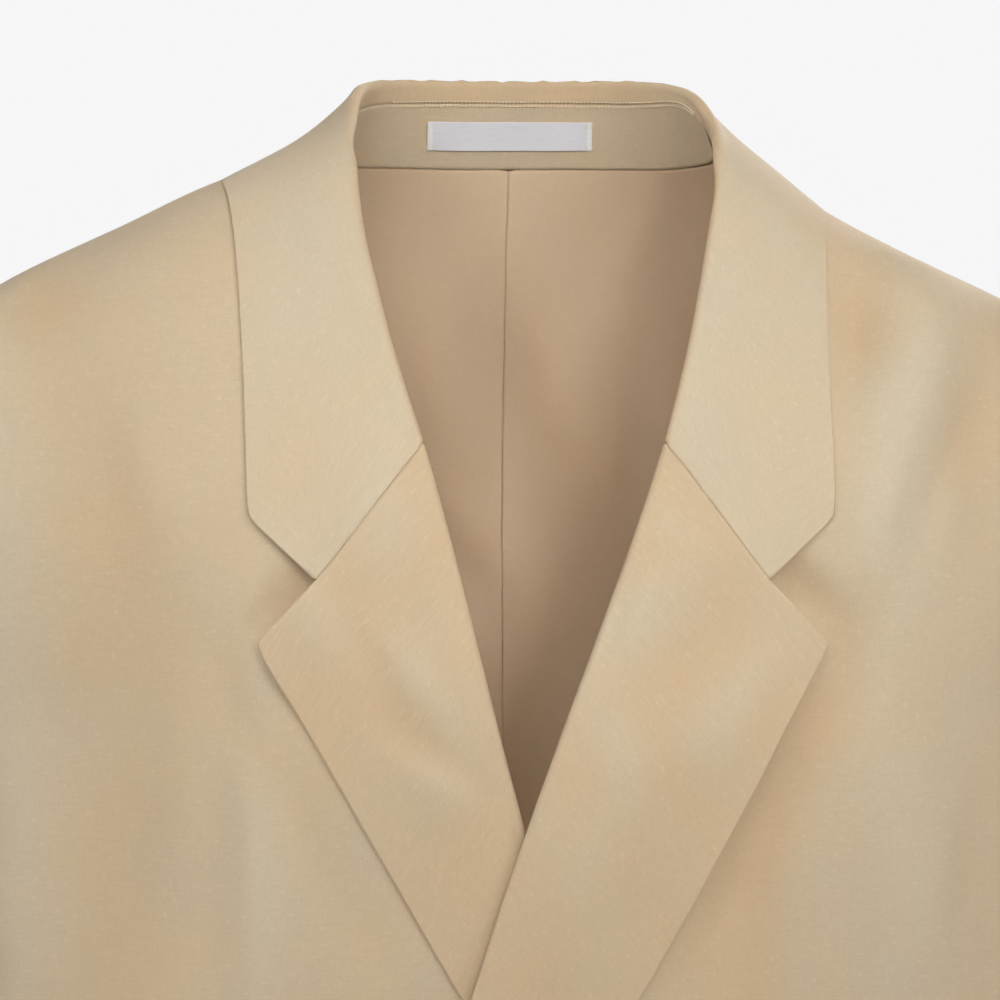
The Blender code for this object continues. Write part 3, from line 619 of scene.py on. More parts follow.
def roll_x(z: Union[float, Array], outer: bool) -> Array:
    """Distance of the roll line from the centre, on the lapel's own side."""
    return (OUTER_ROLL if outer else INNER_ROLL)(z)


def leaned(points: Array) -> Array:
    """The points after the whole garment leans a little on its shoulders."""
    points = np.array(points, float)
    x, z = points[..., 0], points[..., 2]
    share = ramp(np.abs(x), LEAN_START_X, LEAN_RUN_X) * ramp(z, LEAN_START_Z, LEAN_RUN_Z)
    points[..., 2] = z - LEAN_DROP * np.sign(x) * share
    return points


def for_side(side: int, turn: Array) -> Array:
    """The turn of the same place on the wearer's left (side 1) or right (side -1)."""
    return turn if side > 0 else 180.0 - turn


def word(side: int) -> str:
    """The wearer's side in words."""
    return "left" if side > 0 else "right"


# ------ cloth shells
class Border(Enum):
    """How a border of a cloth shell is finished."""

    SEAM = 0.0
    FREE = 1.0


# Distances from a border of the lines laid beside it, and of the first line beyond them.
EDGE_STEPS = (0.0, 0.00012, 0.00035, 0.0007, 0.0012)
EDGE_RUN = 0.0020
BEYOND = 1.0
# Share of the wall that a free edge is rounded over from each side, and the least wall kept.
ROUND_SHARE = 0.48
LEAST_SHARE = 0.05
Ending = Union[Border, Array]


def linked(name: str, data: bpy.types.ID) -> Piece:
    """A new object of the scene that holds some data."""
    made = bpy.data.objects.new(name, data)
    bpy.context.scene.collection.objects.link(made)
    return made


@dataclass
class Shell:
    """A closed cloth wall over a grid of points, with pressed seams and rounded free edges.

    Its name is that of the solid it stands for. The grid is the wall's face. After the point, its
    channels are the two that lay the weave, in metres, and the painted shading, mostly by depth in
    a fold.
    """

    name: str
    grid: Array
    thickness: float
    facing: Triple
    first_row: Ending = Border.SEAM
    last_row: Ending = Border.SEAM
    first_col: Ending = Border.SEAM
    last_col: Ending = Border.SEAM
    gaps: tuple[float, float, float, float] = (0.0, 0.0, 0.0, 0.0)
    seam_depth: float = 0.0007
    seam_run: float = 0.0016

    def _spread(self, lines: Array, first: float, last: float) -> Array:
        """Lines of points spaced anew, with close lines beside both ends.

        Args:
            lines: points, channels last, whose first axis is spaced anew.
            first: length left off at the start.
            last: length left off at the end.

        Returns:
            The new lines, more of them by two sets of edge steps.
        """
        along = travelled(strides(lines))
        near = first + np.array(EDGE_STEPS)
        made = []
        for c in range(lines.shape[1]):
            s = along[:, c]
            size = s[-1]
            far = size - last - np.array(EDGE_STEPS[::-1])
            inner = near[0] + EDGE_RUN + (size - first - last - 2.0 * EDGE_RUN) * s / size
            at = np.concatenate([near, inner, far])
            channels = [np.interp(at, s, lines[:, c, k]) for k in range(lines.shape[2])]
            made.append(np.stack(channels, axis=-1))
        return np.stack(made, axis=1)

    def _profile(self, kind: Ending, count: int, across: int) -> tuple[Array, Array]:
        """Drop of the face and rise of the back beside one border.

        Args:
            kind: the border's finish, or an array of its free share from 0 to 1.
            count: how many lines lie beside the border.
            across: how many points a line has.

        Returns:
            Drop of the face, and rise of the back, as lines by points.
        """
        if isinstance(kind, Border):
            free = np.full(across, kind.value)
        else:
            free = np.interp(np.linspace(0, 1, across), np.linspace(0, 1, len(kind)), kind)
        steps = np.full(count, BEYOND)
        steps[:len(EDGE_STEPS) + 1] = EDGE_STEPS + (EDGE_RUN,)
        half = self.thickness * ROUND_SHARE
        inside = np.clip(1.0 - steps / half, 0.0, 1.0)
        round_off = half * (1.0 - np.sqrt(1.0 - inside**2))
        pressed = self.seam_depth * np.clip(1.0 - steps / self.seam_run, 0.0, 1.0)**2
        drop = round_off[:, None] * free + pressed[:, None] * (1.0 - free)
        rise = round_off[:, None] * free - pressed[:, None] * (1.0 - free)
        return drop, rise

    def build(self) -> Piece:
        """Makes the shell as a mesh object, with its weave laid as UVs."""
        grid = self._spread(self.grid, self.gaps[0], self.gaps[1])
        grid = self._spread(grid.transpose(1, 0, 2), self.gaps[2], self.gaps[3]).transpose(1, 0, 2)
        points, weave, hollow = grid[..., :3], grid[..., 3:5], grid[..., 5]
        rows, cols = points.shape[:2]
        cross = unit(np.cross(np.gradient(points, axis=0), np.gradient(points, axis=1)))
        outward = cross[rows // 2, cols // 2] @ np.array(self.facing) > 0
        normals = cross if outward else -cross
        drop, rise, dip = np.zeros((3, rows, cols))
        for kind, count, across, last, turned in (
                (self.first_row, rows, cols, False, False),
                (self.last_row, rows, cols, True, False),
                (self.first_col, cols, rows, False, True),
                (self.last_col, cols, rows, True, True)):
            profile = self._profile(kind, count, across)
            face, back = [part[::-1] if last else part for part in profile]
            if turned:
                face, back = face.T, back.T
            drop, rise, dip = np.maximum(drop, face), np.maximum(rise, back), np.minimum(dip, back)
        depth = self.thickness - np.where(rise > 0.0, rise, dip)
        depth = np.maximum(depth, drop + LEAST_SHARE * self.thickness)
        face, back = [leaned(points - normals * below[..., None]) for below in (drop, depth)]
        return self._mesh(face, back, weave, hollow, outward)

    def _mesh(self, face: Array, back: Array, weave: Array, hollow: Array,
              outward: bool) -> Piece:
        """The mesh object of two layers of points and the rim between them.

        Args:
            face: points of the face.
            back: points of the back.
            weave: the two channels that lay the weave.
            hollow: painted shading of each point, mostly by its depth in a fold.
            outward: whether the grid's own normals leave the face.

        Returns:
            The object.
        """
        rows, cols = face.shape[:2]
        place = np.arange(rows * cols).reshape(rows, cols)
        corners = [place[:-1, :-1], place[1:, :-1], place[1:, 1:], place[:-1, 1:]]
        quads = np.stack(corners, -1).reshape(-1, 4)
        under = quads[:, ::-1] + rows * cols
        ring = np.concatenate([place[0, :-1], place[:-1, -1], place[-1, :0:-1], place[:0:-1, 0]])
        after = np.roll(ring, -1)
        rim = np.stack([ring, after, after + rows * cols, ring + rows * cols], -1)
        faces = np.concatenate([quads, under, rim])
        if not outward:
            faces = faces[:, ::-1]
        mesh = bpy.data.meshes.new(f"{self.name}_cloth")
        mesh.from_pydata(np.concatenate([face, back]).reshape(-1, 3).tolist(), [], faces.tolist())
        laid = np.tile(weave.reshape(-1, 2), (2, 1))
        uv = mesh.uv_layers.new(name="UVMap")
        corner = np.zeros(len(mesh.loops), np.int32)
        mesh.loops.foreach_get("vertex_index", corner)
        uv.data.foreach_set("uv", laid[corner].astype(np.float32).ravel())
        # Per-point amount of painted shading, which the cloth material turns into painted shade
        # and painted light.
        deep = mesh.attributes.new("hollow", "FLOAT", "POINT")
        deep.data.foreach_set("value", np.tile(hollow.ravel(), 2).astype(np.float32))
        mesh.shade_smooth()
        mesh.update()
        return linked(mesh.name, mesh)


def with_weave(points: Array, across: Array, along: Array,
               hollow: Union[float, Array] = 0.0) -> Array:
    """The points with two channels that lay the weave, and one for their painted shading from fold
    depth.
    """
    channels = [(value + 0.0 * points[..., 0])[..., None] for value in (across, along, hollow)]
    return np.concatenate([points] + channels, axis=-1)


def measured_weave(points: Array, hollow: Union[float, Array] = 0.0) -> Array:
    """The points with the weave laid by lengths along their columns and rows.

    Args:
        points: a grid of points.
        hollow: their painted shading, mostly from how deep in a fold they lie.

    Returns:
        The grid with its channels.
    """
    along = travelled(strides(points).mean(axis=1))[:, None]
    across = travelled(strides(points, 1).mean(axis=0))[None, :]
    return with_weave(points, across, along, hollow)


def rounded_corner(grid: Array, row_end: int, col_end: int, radius: float) -> Array:
    """The grid with one of its corners rounded off within its own surface.

    Args:
        grid: points, channels last.
        row_end: 0 for the first row, -1 for the last.
        col_end: 0 for the first column, -1 for the last.
        radius: radius of the rounding.

    Returns:
        A new grid of the same size.
    """
    turned = grid[::-1] if row_end else grid
    turned = turned[:, ::-1] if col_end else turned
    p = np.clip(radius - travelled(strides(turned)), 0.0, radius)
    q = np.clip(radius - travelled(strides(turned, 1), 1), 0.0, radius)
    made = turned
    for axis, own, other in ((0, p, q), (1, q, p)):
        ahead = np.gradient(turned, axis=axis)
        ahead = ahead / np.maximum(np.linalg.norm(ahead[..., :3], axis=-1, keepdims=True), 1e-9)
        move = np.where(p * q > 0, own - own * np.sqrt(1.0 - 0.5 * (other / radius)**2), 0.0)
        made = made + ahead * move[..., None]
    made = made[:, ::-1] if col_end else made
    return made[::-1] if row_end else made


# ------ shader nodes
Socket = bpy.types.NodeSocket


class Graph:
    """A node tree with short ways to add and join nodes."""

    def __init__(self, tree: bpy.types.NodeTree) -> None:
        """Keeps the tree."""
        self.tree = tree

    def feed(self, node: bpy.types.Node, inputs: dict) -> None:
        """Sets or links a node's inputs, which are given by name or place."""
        for key, value in inputs.items():
            if isinstance(value, Socket):
                self.tree.links.new(value, node.inputs[key])
            else:
                node.inputs[key].default_value = value

    def node(self, kind: str, inputs: Optional[dict] = None, **settings: object) -> bpy.types.Node:
        """Adds a node.

        Args:
            kind: the node's type.
            inputs: values or sockets for its inputs, by name or place.
            settings: its own properties.

        Returns:
            The node.
        """
        made = self.tree.nodes.new(kind)
        for key, value in settings.items():
            setattr(made, key, value)
        self.feed(made, inputs or {})
        return made

    def math(self, operation: str, a: object, b: object = 0.0, clamp: bool = False) -> Socket:
        """One arithmetic node's result."""
        made = self.node("ShaderNodeMath", {0: a, 1: b}, operation=operation, use_clamp=clamp)
        return made.outputs[0]

    def weighed(self, *terms: tuple[Socket, float]) -> Socket:
        """The sum of sockets, each multiplied by its weight."""
        parts = [self.math("MULTIPLY", socket, weight) for socket, weight in terms]
        total = parts[0]
        for part in parts[1:]:
            total = self.math("ADD", total, part)
        return total

    def varied(self, middle: float, *terms: tuple[Socket, float], clamp: bool = False) -> Socket:
        """A middle value, moved by each socket's distance from a half, times its weight."""
        base = middle - 0.5 * sum(weight for _, weight in terms)
        return self.math("ADD", self.weighed(*terms), base, clamp)

    def ranged(self, value: Socket, low: float, high: float, start: float = 0.0,
               end: float = 1.0) -> Socket:
        """A value taken from one range to another."""
        made = self.node("ShaderNodeMapRange", {0: value, 1: low, 2: high, 3: start, 4: end})
        return made.outputs[0]

    def mix(self, share: object, a: object, b: object, blend: str = "MIX") -> Socket:
        """A mix of two colours."""
        made = self.node("ShaderNodeMix", {0: share, 6: a, 7: b}, data_type="RGBA",
                         blend_type=blend)
        return made.outputs[2]

    def stretched(self, vector: Socket, scale: Triple, shift: float = 0.0) -> Socket:
        """A vector scaled by its axes and shifted."""
        made = self.node("ShaderNodeMapping", {0: vector, 1: (shift, shift, shift), 3: scale})
        return made.outputs[0]

    def noise(self, vector: Socket, scale: float, detail: float, roughness: float = 0.5) -> Socket:
        """The value of a noise texture."""
        made = self.node("ShaderNodeTexNoise", {"Vector": vector, "Scale": scale, "Detail": detail,
                                                "Roughness": roughness})
        return made.outputs[0]

    def bump(self, height: Socket, depth: float, strength: float = 1.0) -> Socket:
        """A normal bent by a height."""
        made = self.node("ShaderNodeBump", {"Strength": strength, "Distance": depth,
                                            "Height": height})
        return made.outputs[0]

    def laid(self) -> Socket:
        """The weave's own coordinates, in metres."""
        return self.node("ShaderNodeUVMap", uv_map="UVMap").outputs[0]

    def place(self) -> Socket:
        """The place in the garment."""
        return self.node("ShaderNodeTexCoord").outputs["Object"]


def rgba(colour: Colour) -> tuple[float, float, float, float]:
    """The colour with full alpha."""
    return (*colour, 1.0)


def shaded(name: str) -> tuple[bpy.types.Material, Graph, bpy.types.Node]:
    """A new material with its graph and its shader node."""
    made = bpy.data.materials.new(name)
    made.use_nodes = True
    return made, Graph(made.node_tree), made.node_tree.nodes["Principled BSDF"]


@dataclass(frozen=True)
class Finish:
    """A material of two tones. Each kind gives its own surface."""

    name: str
    main: Colour
    other: Colour

    def tone(self, graph: Graph, share: Socket) -> Socket:
        """The other tone where the share is 0, and the main one where it is 1."""
        return graph.mix(share, rgba(self.other), rgba(self.main))

    def surface(self, graph: Graph) -> dict[str, object]:
        """Values and sockets for the shader's inputs, by name."""
        raise NotImplementedError

    def material(self) -> bpy.types.Material:
        """Makes the material."""
        made, graph, shader = shaded(self.name)
        graph.feed(shader, self.surface(graph))
        return made


@dataclass(frozen=True)
class Woven(Finish):
    """A plain-woven cloth whose threads run thick and thin."""

    thread: float = 0.00042
    slub_length: float = 0.005
    slub_height: float = 1.6
    slub_narrow: float = 0.42
    warp_share: float = 0.45
    weft_share: float = 0.55
    contrast: float = 1.15
    mottle: float = 0.5
    broad_share: float = 1.6
    broad_scale: float = 9.0
    patch_scale: Triple = (38.0, 38.0, 26.0)
    broad_warmth: float = 2.2
    patch_warmth: float = 1.5
    relief: float = 0.00007
    roughness: float = 0.82
    sheen: float = 0.12
    # Tints of painted light and painted shade: paler on ridges of the folds, darker and warmer in
    # their troughs.
    crest: Colour = (0.905, 0.94, 0.955)
    trough: Colour = (0.87, 0.795, 0.71)

    def _height(self, graph: Graph) -> Socket:
        """Height of the threads, with their slubs."""
        laid = graph.laid()
        fine, long = 0.5 / self.thread, 1.0 / self.slub_length
        narrow = fine * self.slub_narrow
        warp = graph.noise(graph.stretched(laid, (fine, long, 1.0)), 1.0, 2.0, 0.6)
        weft = graph.noise(graph.stretched(laid, (long, fine, 1.0), 5.3), 1.0, 2.0, 0.6)
        slubs = []
        for scale, shift, least in (((long * 1.6, narrow, 1.0), 9.1, 0.60),
                                    ((narrow, long * 1.3, 1.0), 2.7, 0.62)):
            thick = graph.noise(graph.stretched(laid, scale, shift), 1.0, 1.0)
            slubs.append(graph.math("SUBTRACT", thick, least, True))
        return graph.weighed((warp, self.warp_share), (weft, self.weft_share),
                             (slubs[0], self.slub_height), (slubs[1], 0.7 * self.slub_height))

    def surface(self, graph: Graph) -> dict[str, object]:
        """Threads, slubs, soft patches, warmer painted shade in troughs, paler painted light on
        ridges.
        """
        height, place = self._height(graph), graph.place()
        broad = graph.noise(place, self.broad_scale, 3.0, 0.55)
        patch = graph.noise(graph.stretched(place, self.patch_scale), 1.0, 2.0)
        tone = graph.varied(0.55, (height, self.contrast), (broad, self.broad_share * self.mottle),
                            (patch, self.mottle), clamp=True)
        # Painted shading: the shell's per-point amount, plus the random patches, mixes the painted
        # light and painted shade tints.
        deep = graph.node("ShaderNodeAttribute", attribute_name="hollow").outputs["Fac"]
        patches = graph.varied(0.0, (broad, self.broad_warmth), (patch, self.patch_warmth))
        share = graph.ranged(graph.math("ADD", deep, patches), -1.0, 1.0)
        shade = graph.mix(share, rgba(self.crest), rgba(self.trough))
        return {
            "Base Color": graph.mix(1.0, self.tone(graph, tone), shade, "MULTIPLY"),
            "Normal": graph.bump(height, self.relief),
            "Roughness": graph.ranged(height, 0.2, 0.9, self.roughness - 0.06,
                                      self.roughness + 0.08),
            "Sheen Weight": self.sheen,
            "Sheen Roughness": 0.45,
            "Specular IOR Level": 0.25,
        }


@dataclass(frozen=True)
class Satin(Finish):
    """A smooth woven label, its warp lying across it; the other tone is its bound ends'."""

    half_width: float = 0.0355
    end_width: float = 0.0022
    rib_scale: Triple = (90.0, 3600.0, 1.0)
    cross_scale: Triple = (2600.0, 500.0, 1.0)

    def surface(self, graph: Graph) -> dict[str, object]:
        """Fine ribs, and paler ends."""
        laid = graph.laid()
        across = graph.node("ShaderNodeSeparateXYZ", {0: laid}).outputs[0]
        reach = graph.math("ABSOLUTE", graph.math("SUBTRACT", across, self.half_width))
        inside = graph.math("LESS_THAN", reach, self.half_width - self.end_width)
        ribs = graph.noise(graph.stretched(laid, self.rib_scale), 1.0, 2.0)
        cross = graph.noise(graph.stretched(laid, self.cross_scale, 3.0), 1.0, 1.0)
        height = graph.weighed((ribs, 0.7), (cross, 0.3))
        shade = graph.ranged(height, 0.25, 0.75, 0.90, 1.04)
        grey = graph.node("ShaderNodeCombineColor", {0: shade, 1: shade, 2: shade}).outputs[0]
        return {
            "Base Color": graph.mix(1.0, self.tone(graph, inside), grey, "MULTIPLY"),
            "Normal": graph.bump(height, 0.00006, 0.6),
            "Roughness": 0.42,
            "Sheen Weight": 0.2,
        }


@dataclass(frozen=True)
class Horn(Finish):
    """Turned horn with cloudy streaks and a soft polish."""

    streak_scale: Triple = (420.0, 420.0, 90.0)
    cloud_scale: float = 160.0

    def surface(self, graph: Graph) -> dict[str, object]:
        """Streaks along the button's height, and clouds."""
        place = graph.place()
        streaks = graph.noise(graph.stretched(place, self.streak_scale), 1.0, 4.0, 0.6)
        cloud = graph.noise(place, self.cloud_scale, 2.0)
        return {
            "Base Color": self.tone(graph, graph.ranged(
                graph.weighed((streaks, 0.7), (cloud, 0.3)), 0.35, 0.65)),
            "Roughness": graph.ranged(streaks, 0.3, 0.7, 0.26, 0.40),
            "Normal": graph.bump(streaks, 0.00004, 0.4),
            "Coat Weight": 0.15,
        }


@dataclass(frozen=True)
class Thread(Finish):
    """Spun sewing thread."""

    fibre_scale: float = 3500.0

    def surface(self, graph: Graph) -> dict[str, object]:
        """Fine fibres."""
        fibres = graph.noise(graph.place(), self.fibre_scale, 2.0)
        return {
            "Base Color": self.tone(graph, fibres),
            "Normal": graph.bump(fibres, 0.00005, 0.5),
            "Roughness": 0.6,
            "Sheen Weight": 0.3,
        }


# ------ dressing
class Cut(NamedTuple):
    """A piece as it is cut flat: width, length and area."""

    width: float
    length: float
    area: float


@dataclass(frozen=True)
class Dresser:
    """Gives each finished piece its material and body."""

    materials: dict[str, bpy.types.Material]

    def cloth(self, wall: Shell, finish: str, kind: str, held: str = "hung",
              rests_on: Sequence[str] = ()) -> Piece:
        """Builds and dresses a cloth piece, which stands for the solid of its name.

        Args:
            wall: the piece's shell.
            finish: name of its material.
            kind: not used.
            held: not used.
            rests_on: not used.

        Returns:
            The dressed piece.
        """
        piece = self.fixed(wall.build(), finish)
        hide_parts(wall.name)
        return piece

    def fixed(self, piece: Piece, finish: str, slot: Optional[str] = None) -> Piece:
        """Dresses a piece and fixes it to the one body.

        Args:
            piece: the finished object.
            finish: name of its material.
            slot: not used.

        Returns:
            The piece.
        """
        piece.data.materials.clear()
        piece.data.materials.append(self.materials[finish])
        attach(piece, BODY)
        LOG.info("%s: %d faces", piece.name, len(piece.data.polygons))
        return piece


# ------ body panels
def armhole(angle: Array) -> tuple[Array, Array]:
    """Turn and height of the left armhole, at an angle from its top toward the front."""
    return ARMHOLE_HALF_TURN * np.sin(angle), ARMHOLE_Z + ARMHOLE_HALF_HEIGHT * np.cos(angle)


SIDE_ANGLE = pi - float(np.arcsin(SIDE_TURN / ARMHOLE_HALF_TURN))
SIDE_TOP_Z = float(armhole(SIDE_ANGLE)[1])


def outer_border(shares: Array, facing: float) -> tuple[Array, Array]:
    """Side seam, then armhole.

    Args:
        shares: places along the border, from 0 to 1.
        facing: 1 on the front and -1 on the back.

    Returns:
        Turns and heights along the border.
    """
    turn, z = armhole(SIDE_ANGLE * (1.0 - shares) / (1.0 - SEAM_SHARE))
    below = shares <= SEAM_SHARE
    return (facing * np.where(below, SIDE_TURN, turn),
            np.where(below, HEM_Z + (SIDE_TOP_Z - HEM_Z) * shares / SEAM_SHARE, z))


def neck_seam_turn(row: NeckRow, side: int) -> float:
    """Turn of the neck seam, which follows the sideways shift of the turned edge at the front.

    Args:
        row: a place round the neck.
        side: 1 for the wearer's left, -1 for the right.

    Returns:
        The turn, counted as on the left side.
    """
    if row.seam_turn <= 0.0:
        return row.seam_turn
    share = row.seam_turn / NECK[-1].seam_turn
    x = HALF_WIDTH(row.seam_z) * cos(radians(row.seam_turn)) + side * row.fold_shift * share
    return float(turn_at(x, row.seam_z))


def front_border(shares: Array, side: int) -> tuple[Array, Array]:
    """Front edge, then just inside the roll line, then the neck, for a left front.

    Args:
        shares: places along the border, from 0 to 1.
        side: 1 for the wearer's left, -1 for the right.

    Returns:
        Turns and heights along the border.
    """
    z = HEM_Z * (1.0 - shares)**FRONT_POWER
    neck = NECK[SHOULDER_ROW:]
    turns = [neck_seam_turn(row, side) for row in neck]
    start = neck[-1].seam_z
    tuck = TURN_TUCK * ramp(z, BREAK_Z, TUCK_RUN)
    step = turns[-1] - turn_at(roll_x(start, side > 0) + TURN_TUCK, start)
    beside = turn_at(roll_x(z, side > 0) + tuck, z) + step * ramp(z, 2.0 * start, -start)
    at_neck = np.interp(-z, [-row.seam_z for row in neck], turns)
    turn = np.where(z > start, at_neck, beside)
    return np.where(z <= BREAK_Z, turn_at(-OVERLAP, z), turn), z


def back_border(shares: Array) -> tuple[Array, Array]:
    """Centre back seam, then the neck seam.

    Args:
        shares: places along the border, from 0 to 1.

    Returns:
        Turns and heights along the border.
    """
    top = NECK[0].seam_z
    below = shares <= NECK_SHARE
    rest = np.clip(1.0 - shares / NECK_SHARE, 0.0, 1.0)
    place = SHOULDER_ROW * (shares - NECK_SHARE) / (1.0 - NECK_SHARE)
    rows = range(len(NECK))
    turn = np.interp(place, rows, [row.seam_turn for row in NECK])
    z = np.interp(place, rows, [row.seam_z for row in NECK])
    return np.where(below, -90.0, turn), np.where(below, top + (HEM_Z - top) * rest**BACK_POWER, z)


@dataclass
class Body:
    """The fronts, side bodies, backs and upper back lining."""

    dresser: Dresser
    form: Form = FORM_SHAPE
    front_lines: int = 261
    front_columns: int = 112
    back_lines: int = 141
    back_columns: int = 56
    side_columns: int = 18
    lining_hang: float = 0.0009
    lining_top_gap: float = 0.0001
    lining_seam_depth: float = 0.0004
    pleat_lift: float = 0.0004
    pleat_run: float = 0.010

    def _grid(self, side: int, borders: tuple, columns: Array, off: float, outer: bool,
              centre: float, form: Form = FORM_SHAPE) -> Array:
        """A panel's points and weave between two borders of turn and height.

        Args:
            side: 1 for the wearer's left, -1 for the right.
            borders: turns and heights of the two borders.
            columns: shares from the first border to the second.
            off: distance off the form.
            outer: whether it is the outer front.
            centre: the turn that the weave is laid from.
            form: the form, with its folds.

        Returns:
            The points and their weave.
        """
        (turn_a, z_a), (turn_b, z_b) = borders
        turn = turn_a[:, None] + (turn_b - turn_a)[:, None] * columns
        z = z_a[:, None] + (z_b - z_a)[:, None] * columns
        turn = for_side(side, turn)
        points = form.cloth(turn, z, off=off, outer=outer)
        laid = form.around(turn, z, for_side(side, centre))
        return with_weave(points, laid, z, form.hollow(turn, z))

    def front(self, side: int) -> Piece:
        """A front, from its free edge and the roll line to the side seam and armhole."""
        shares = np.linspace(0.0, 1.0, self.front_lines)
        borders = (front_border(shares, side), outer_border(shares, 1.0))
        columns = np.linspace(0.0, 1.0, self.front_columns)
        grid = self._grid(side, borders, columns, 0.0, side > 0, 90.0)
        wall = Shell(f"front_{word(side)}", grid, CLOTH, (0, -1, 0), first_row=Border.FREE,
                     first_col=Border.FREE, gaps=(0.0, HALF_GAP, 0.0, HALF_GAP))
        return self.dresser.cloth(wall, LINEN, "front")

    def back_grid(self, side: int, off: float, first: float, columns: Array, form: Form) -> Array:
        """Points and weave of a back, from a first share of its lines up.

        Args:
            side: 1 for the wearer's left, -1 for the right.
            off: distance off the form.
            first: share of the lines left off above the hem.
            columns: shares from the centre back to the side.
            form: the form, with its folds.

        Returns:
            The points and their weave.
        """
        count = int(round(self.back_lines * (1.0 - first)))
        shares = np.linspace(first, 1.0, count)
        borders = (back_border(shares), outer_border(shares, -1.0))
        return self._grid(side, borders, columns, off, False, -90.0, form)

    def back(self, side: int) -> Piece:
        """A back, from the centre back seam and neck to the side seam and armhole."""
        grid = self.back_grid(side, 0.0, 0.0, np.linspace(0.0, 1.0, self.back_columns), self.form)
        wall = Shell(f"back_{word(side)}", grid, CLOTH, (0, 1, 0), first_row=Border.FREE,
                     gaps=(0.0, HALF_GAP, 0.0, HALF_GAP))
        return self.dresser.cloth(wall, LINEN, "back")

    def side(self, side: int) -> Piece:
        """A side body, between the front and the back, up to the armhole."""
        turns = np.linspace(-SIDE_TURN, SIDE_TURN, self.side_columns)
        rise = np.sqrt(1.0 - (turns / ARMHOLE_HALF_TURN)**2)
        tops = ARMHOLE_Z - ARMHOLE_HALF_HEIGHT * rise
        shares = np.linspace(0.0, 1.0, (self.front_lines + 1) // 2)[:, None]
        z = HEM_Z + (tops - HEM_Z) * shares
        turn = for_side(side, turns + 0.0 * z)
        points = self.form.cloth(turn, z)
        laid = self.form.around(turn, z, for_side(side, 0.0))
        grid = with_weave(points, laid, z, self.form.hollow(turn, z))
        wall = Shell(f"side_{word(side)}", grid, CLOTH, (side, 0, 0), first_row=Border.FREE,
                     gaps=(0.0, HALF_GAP, HALF_GAP, HALF_GAP))
        return self.dresser.cloth(wall, LINEN, "side")

    def lining(self, side: int) -> Piece:
        """The upper back lining; the right panel's edge lies a little proud along the pleat."""
        columns = np.linspace(0.0, LINING_COLUMNS, self.back_columns)
        off = -CLOTH - self.lining_hang - LINING_CLOTH
        grid = self.back_grid(side, off, LINING_FIRST_SHARE, columns, LINING_SHAPE)
        if side > 0:
            from_pleat = np.abs(grid[..., 0])
            grid[..., 1] -= self.pleat_lift * (1.0 - ramp(from_pleat, 0.0, self.pleat_run))
        wall = Shell(f"lining_back_{word(side)}", grid, LINING_CLOTH, (0, -1, 0),
                     first_row=Border.FREE, last_col=Border.FREE,
                     gaps=(0.0, self.lining_top_gap, SEAM_GAP, 0.0),
                     seam_depth=self.lining_seam_depth)
        return self.dresser.cloth(wall, LINING, "lining_back",
                                  rests_on=[f"back_{word(side)}"])


# ------ collar and lapels
def across_at(line: Array, columns: Array) -> Array:
    """Points of a line at given distances across the garment."""
    return np.stack([np.interp(columns, line[:, 0], line[:, k]) for k in range(3)], axis=-1)


# Start and run of each change, in rows of the neck's table.
PUCKER_ENDS = (1.0, 2.5)
BAND_RISES = (2.0, 1.4)
BAND_FALLS = (3.9, 1.2)
# Start and run of each change, as shares of a leaf, of a lapel, and of the turned lines.
LEAF_SINKS = (0.30, 0.60)
LEAF_CURLS = (0.50, 0.35)
LAPEL_BENDS = (0.0, 0.15)
# EDGE_SHOWS: where the painted shade on the collar's turned cloth fades out.
EDGE_SHOWS = (0.70, 0.30)


class Pucker(NamedTuple):
    """A small wave of the collar's turned edge."""

    rate: float
    start: float
    share: float


PUCKERS = (Pucker(540.0, 0.0, 1.0), Pucker(910.0, 1.0, 0.7))


class Station(NamedTuple):
    """A section across the turned edge of the collar or a lapel."""

    place: float
    side: int
    fold: Array
    seam: Array
    foot: Optional[Array]
    along: Array
    start_at: tuple[float, float]
    edge_at: Optional[Triple]


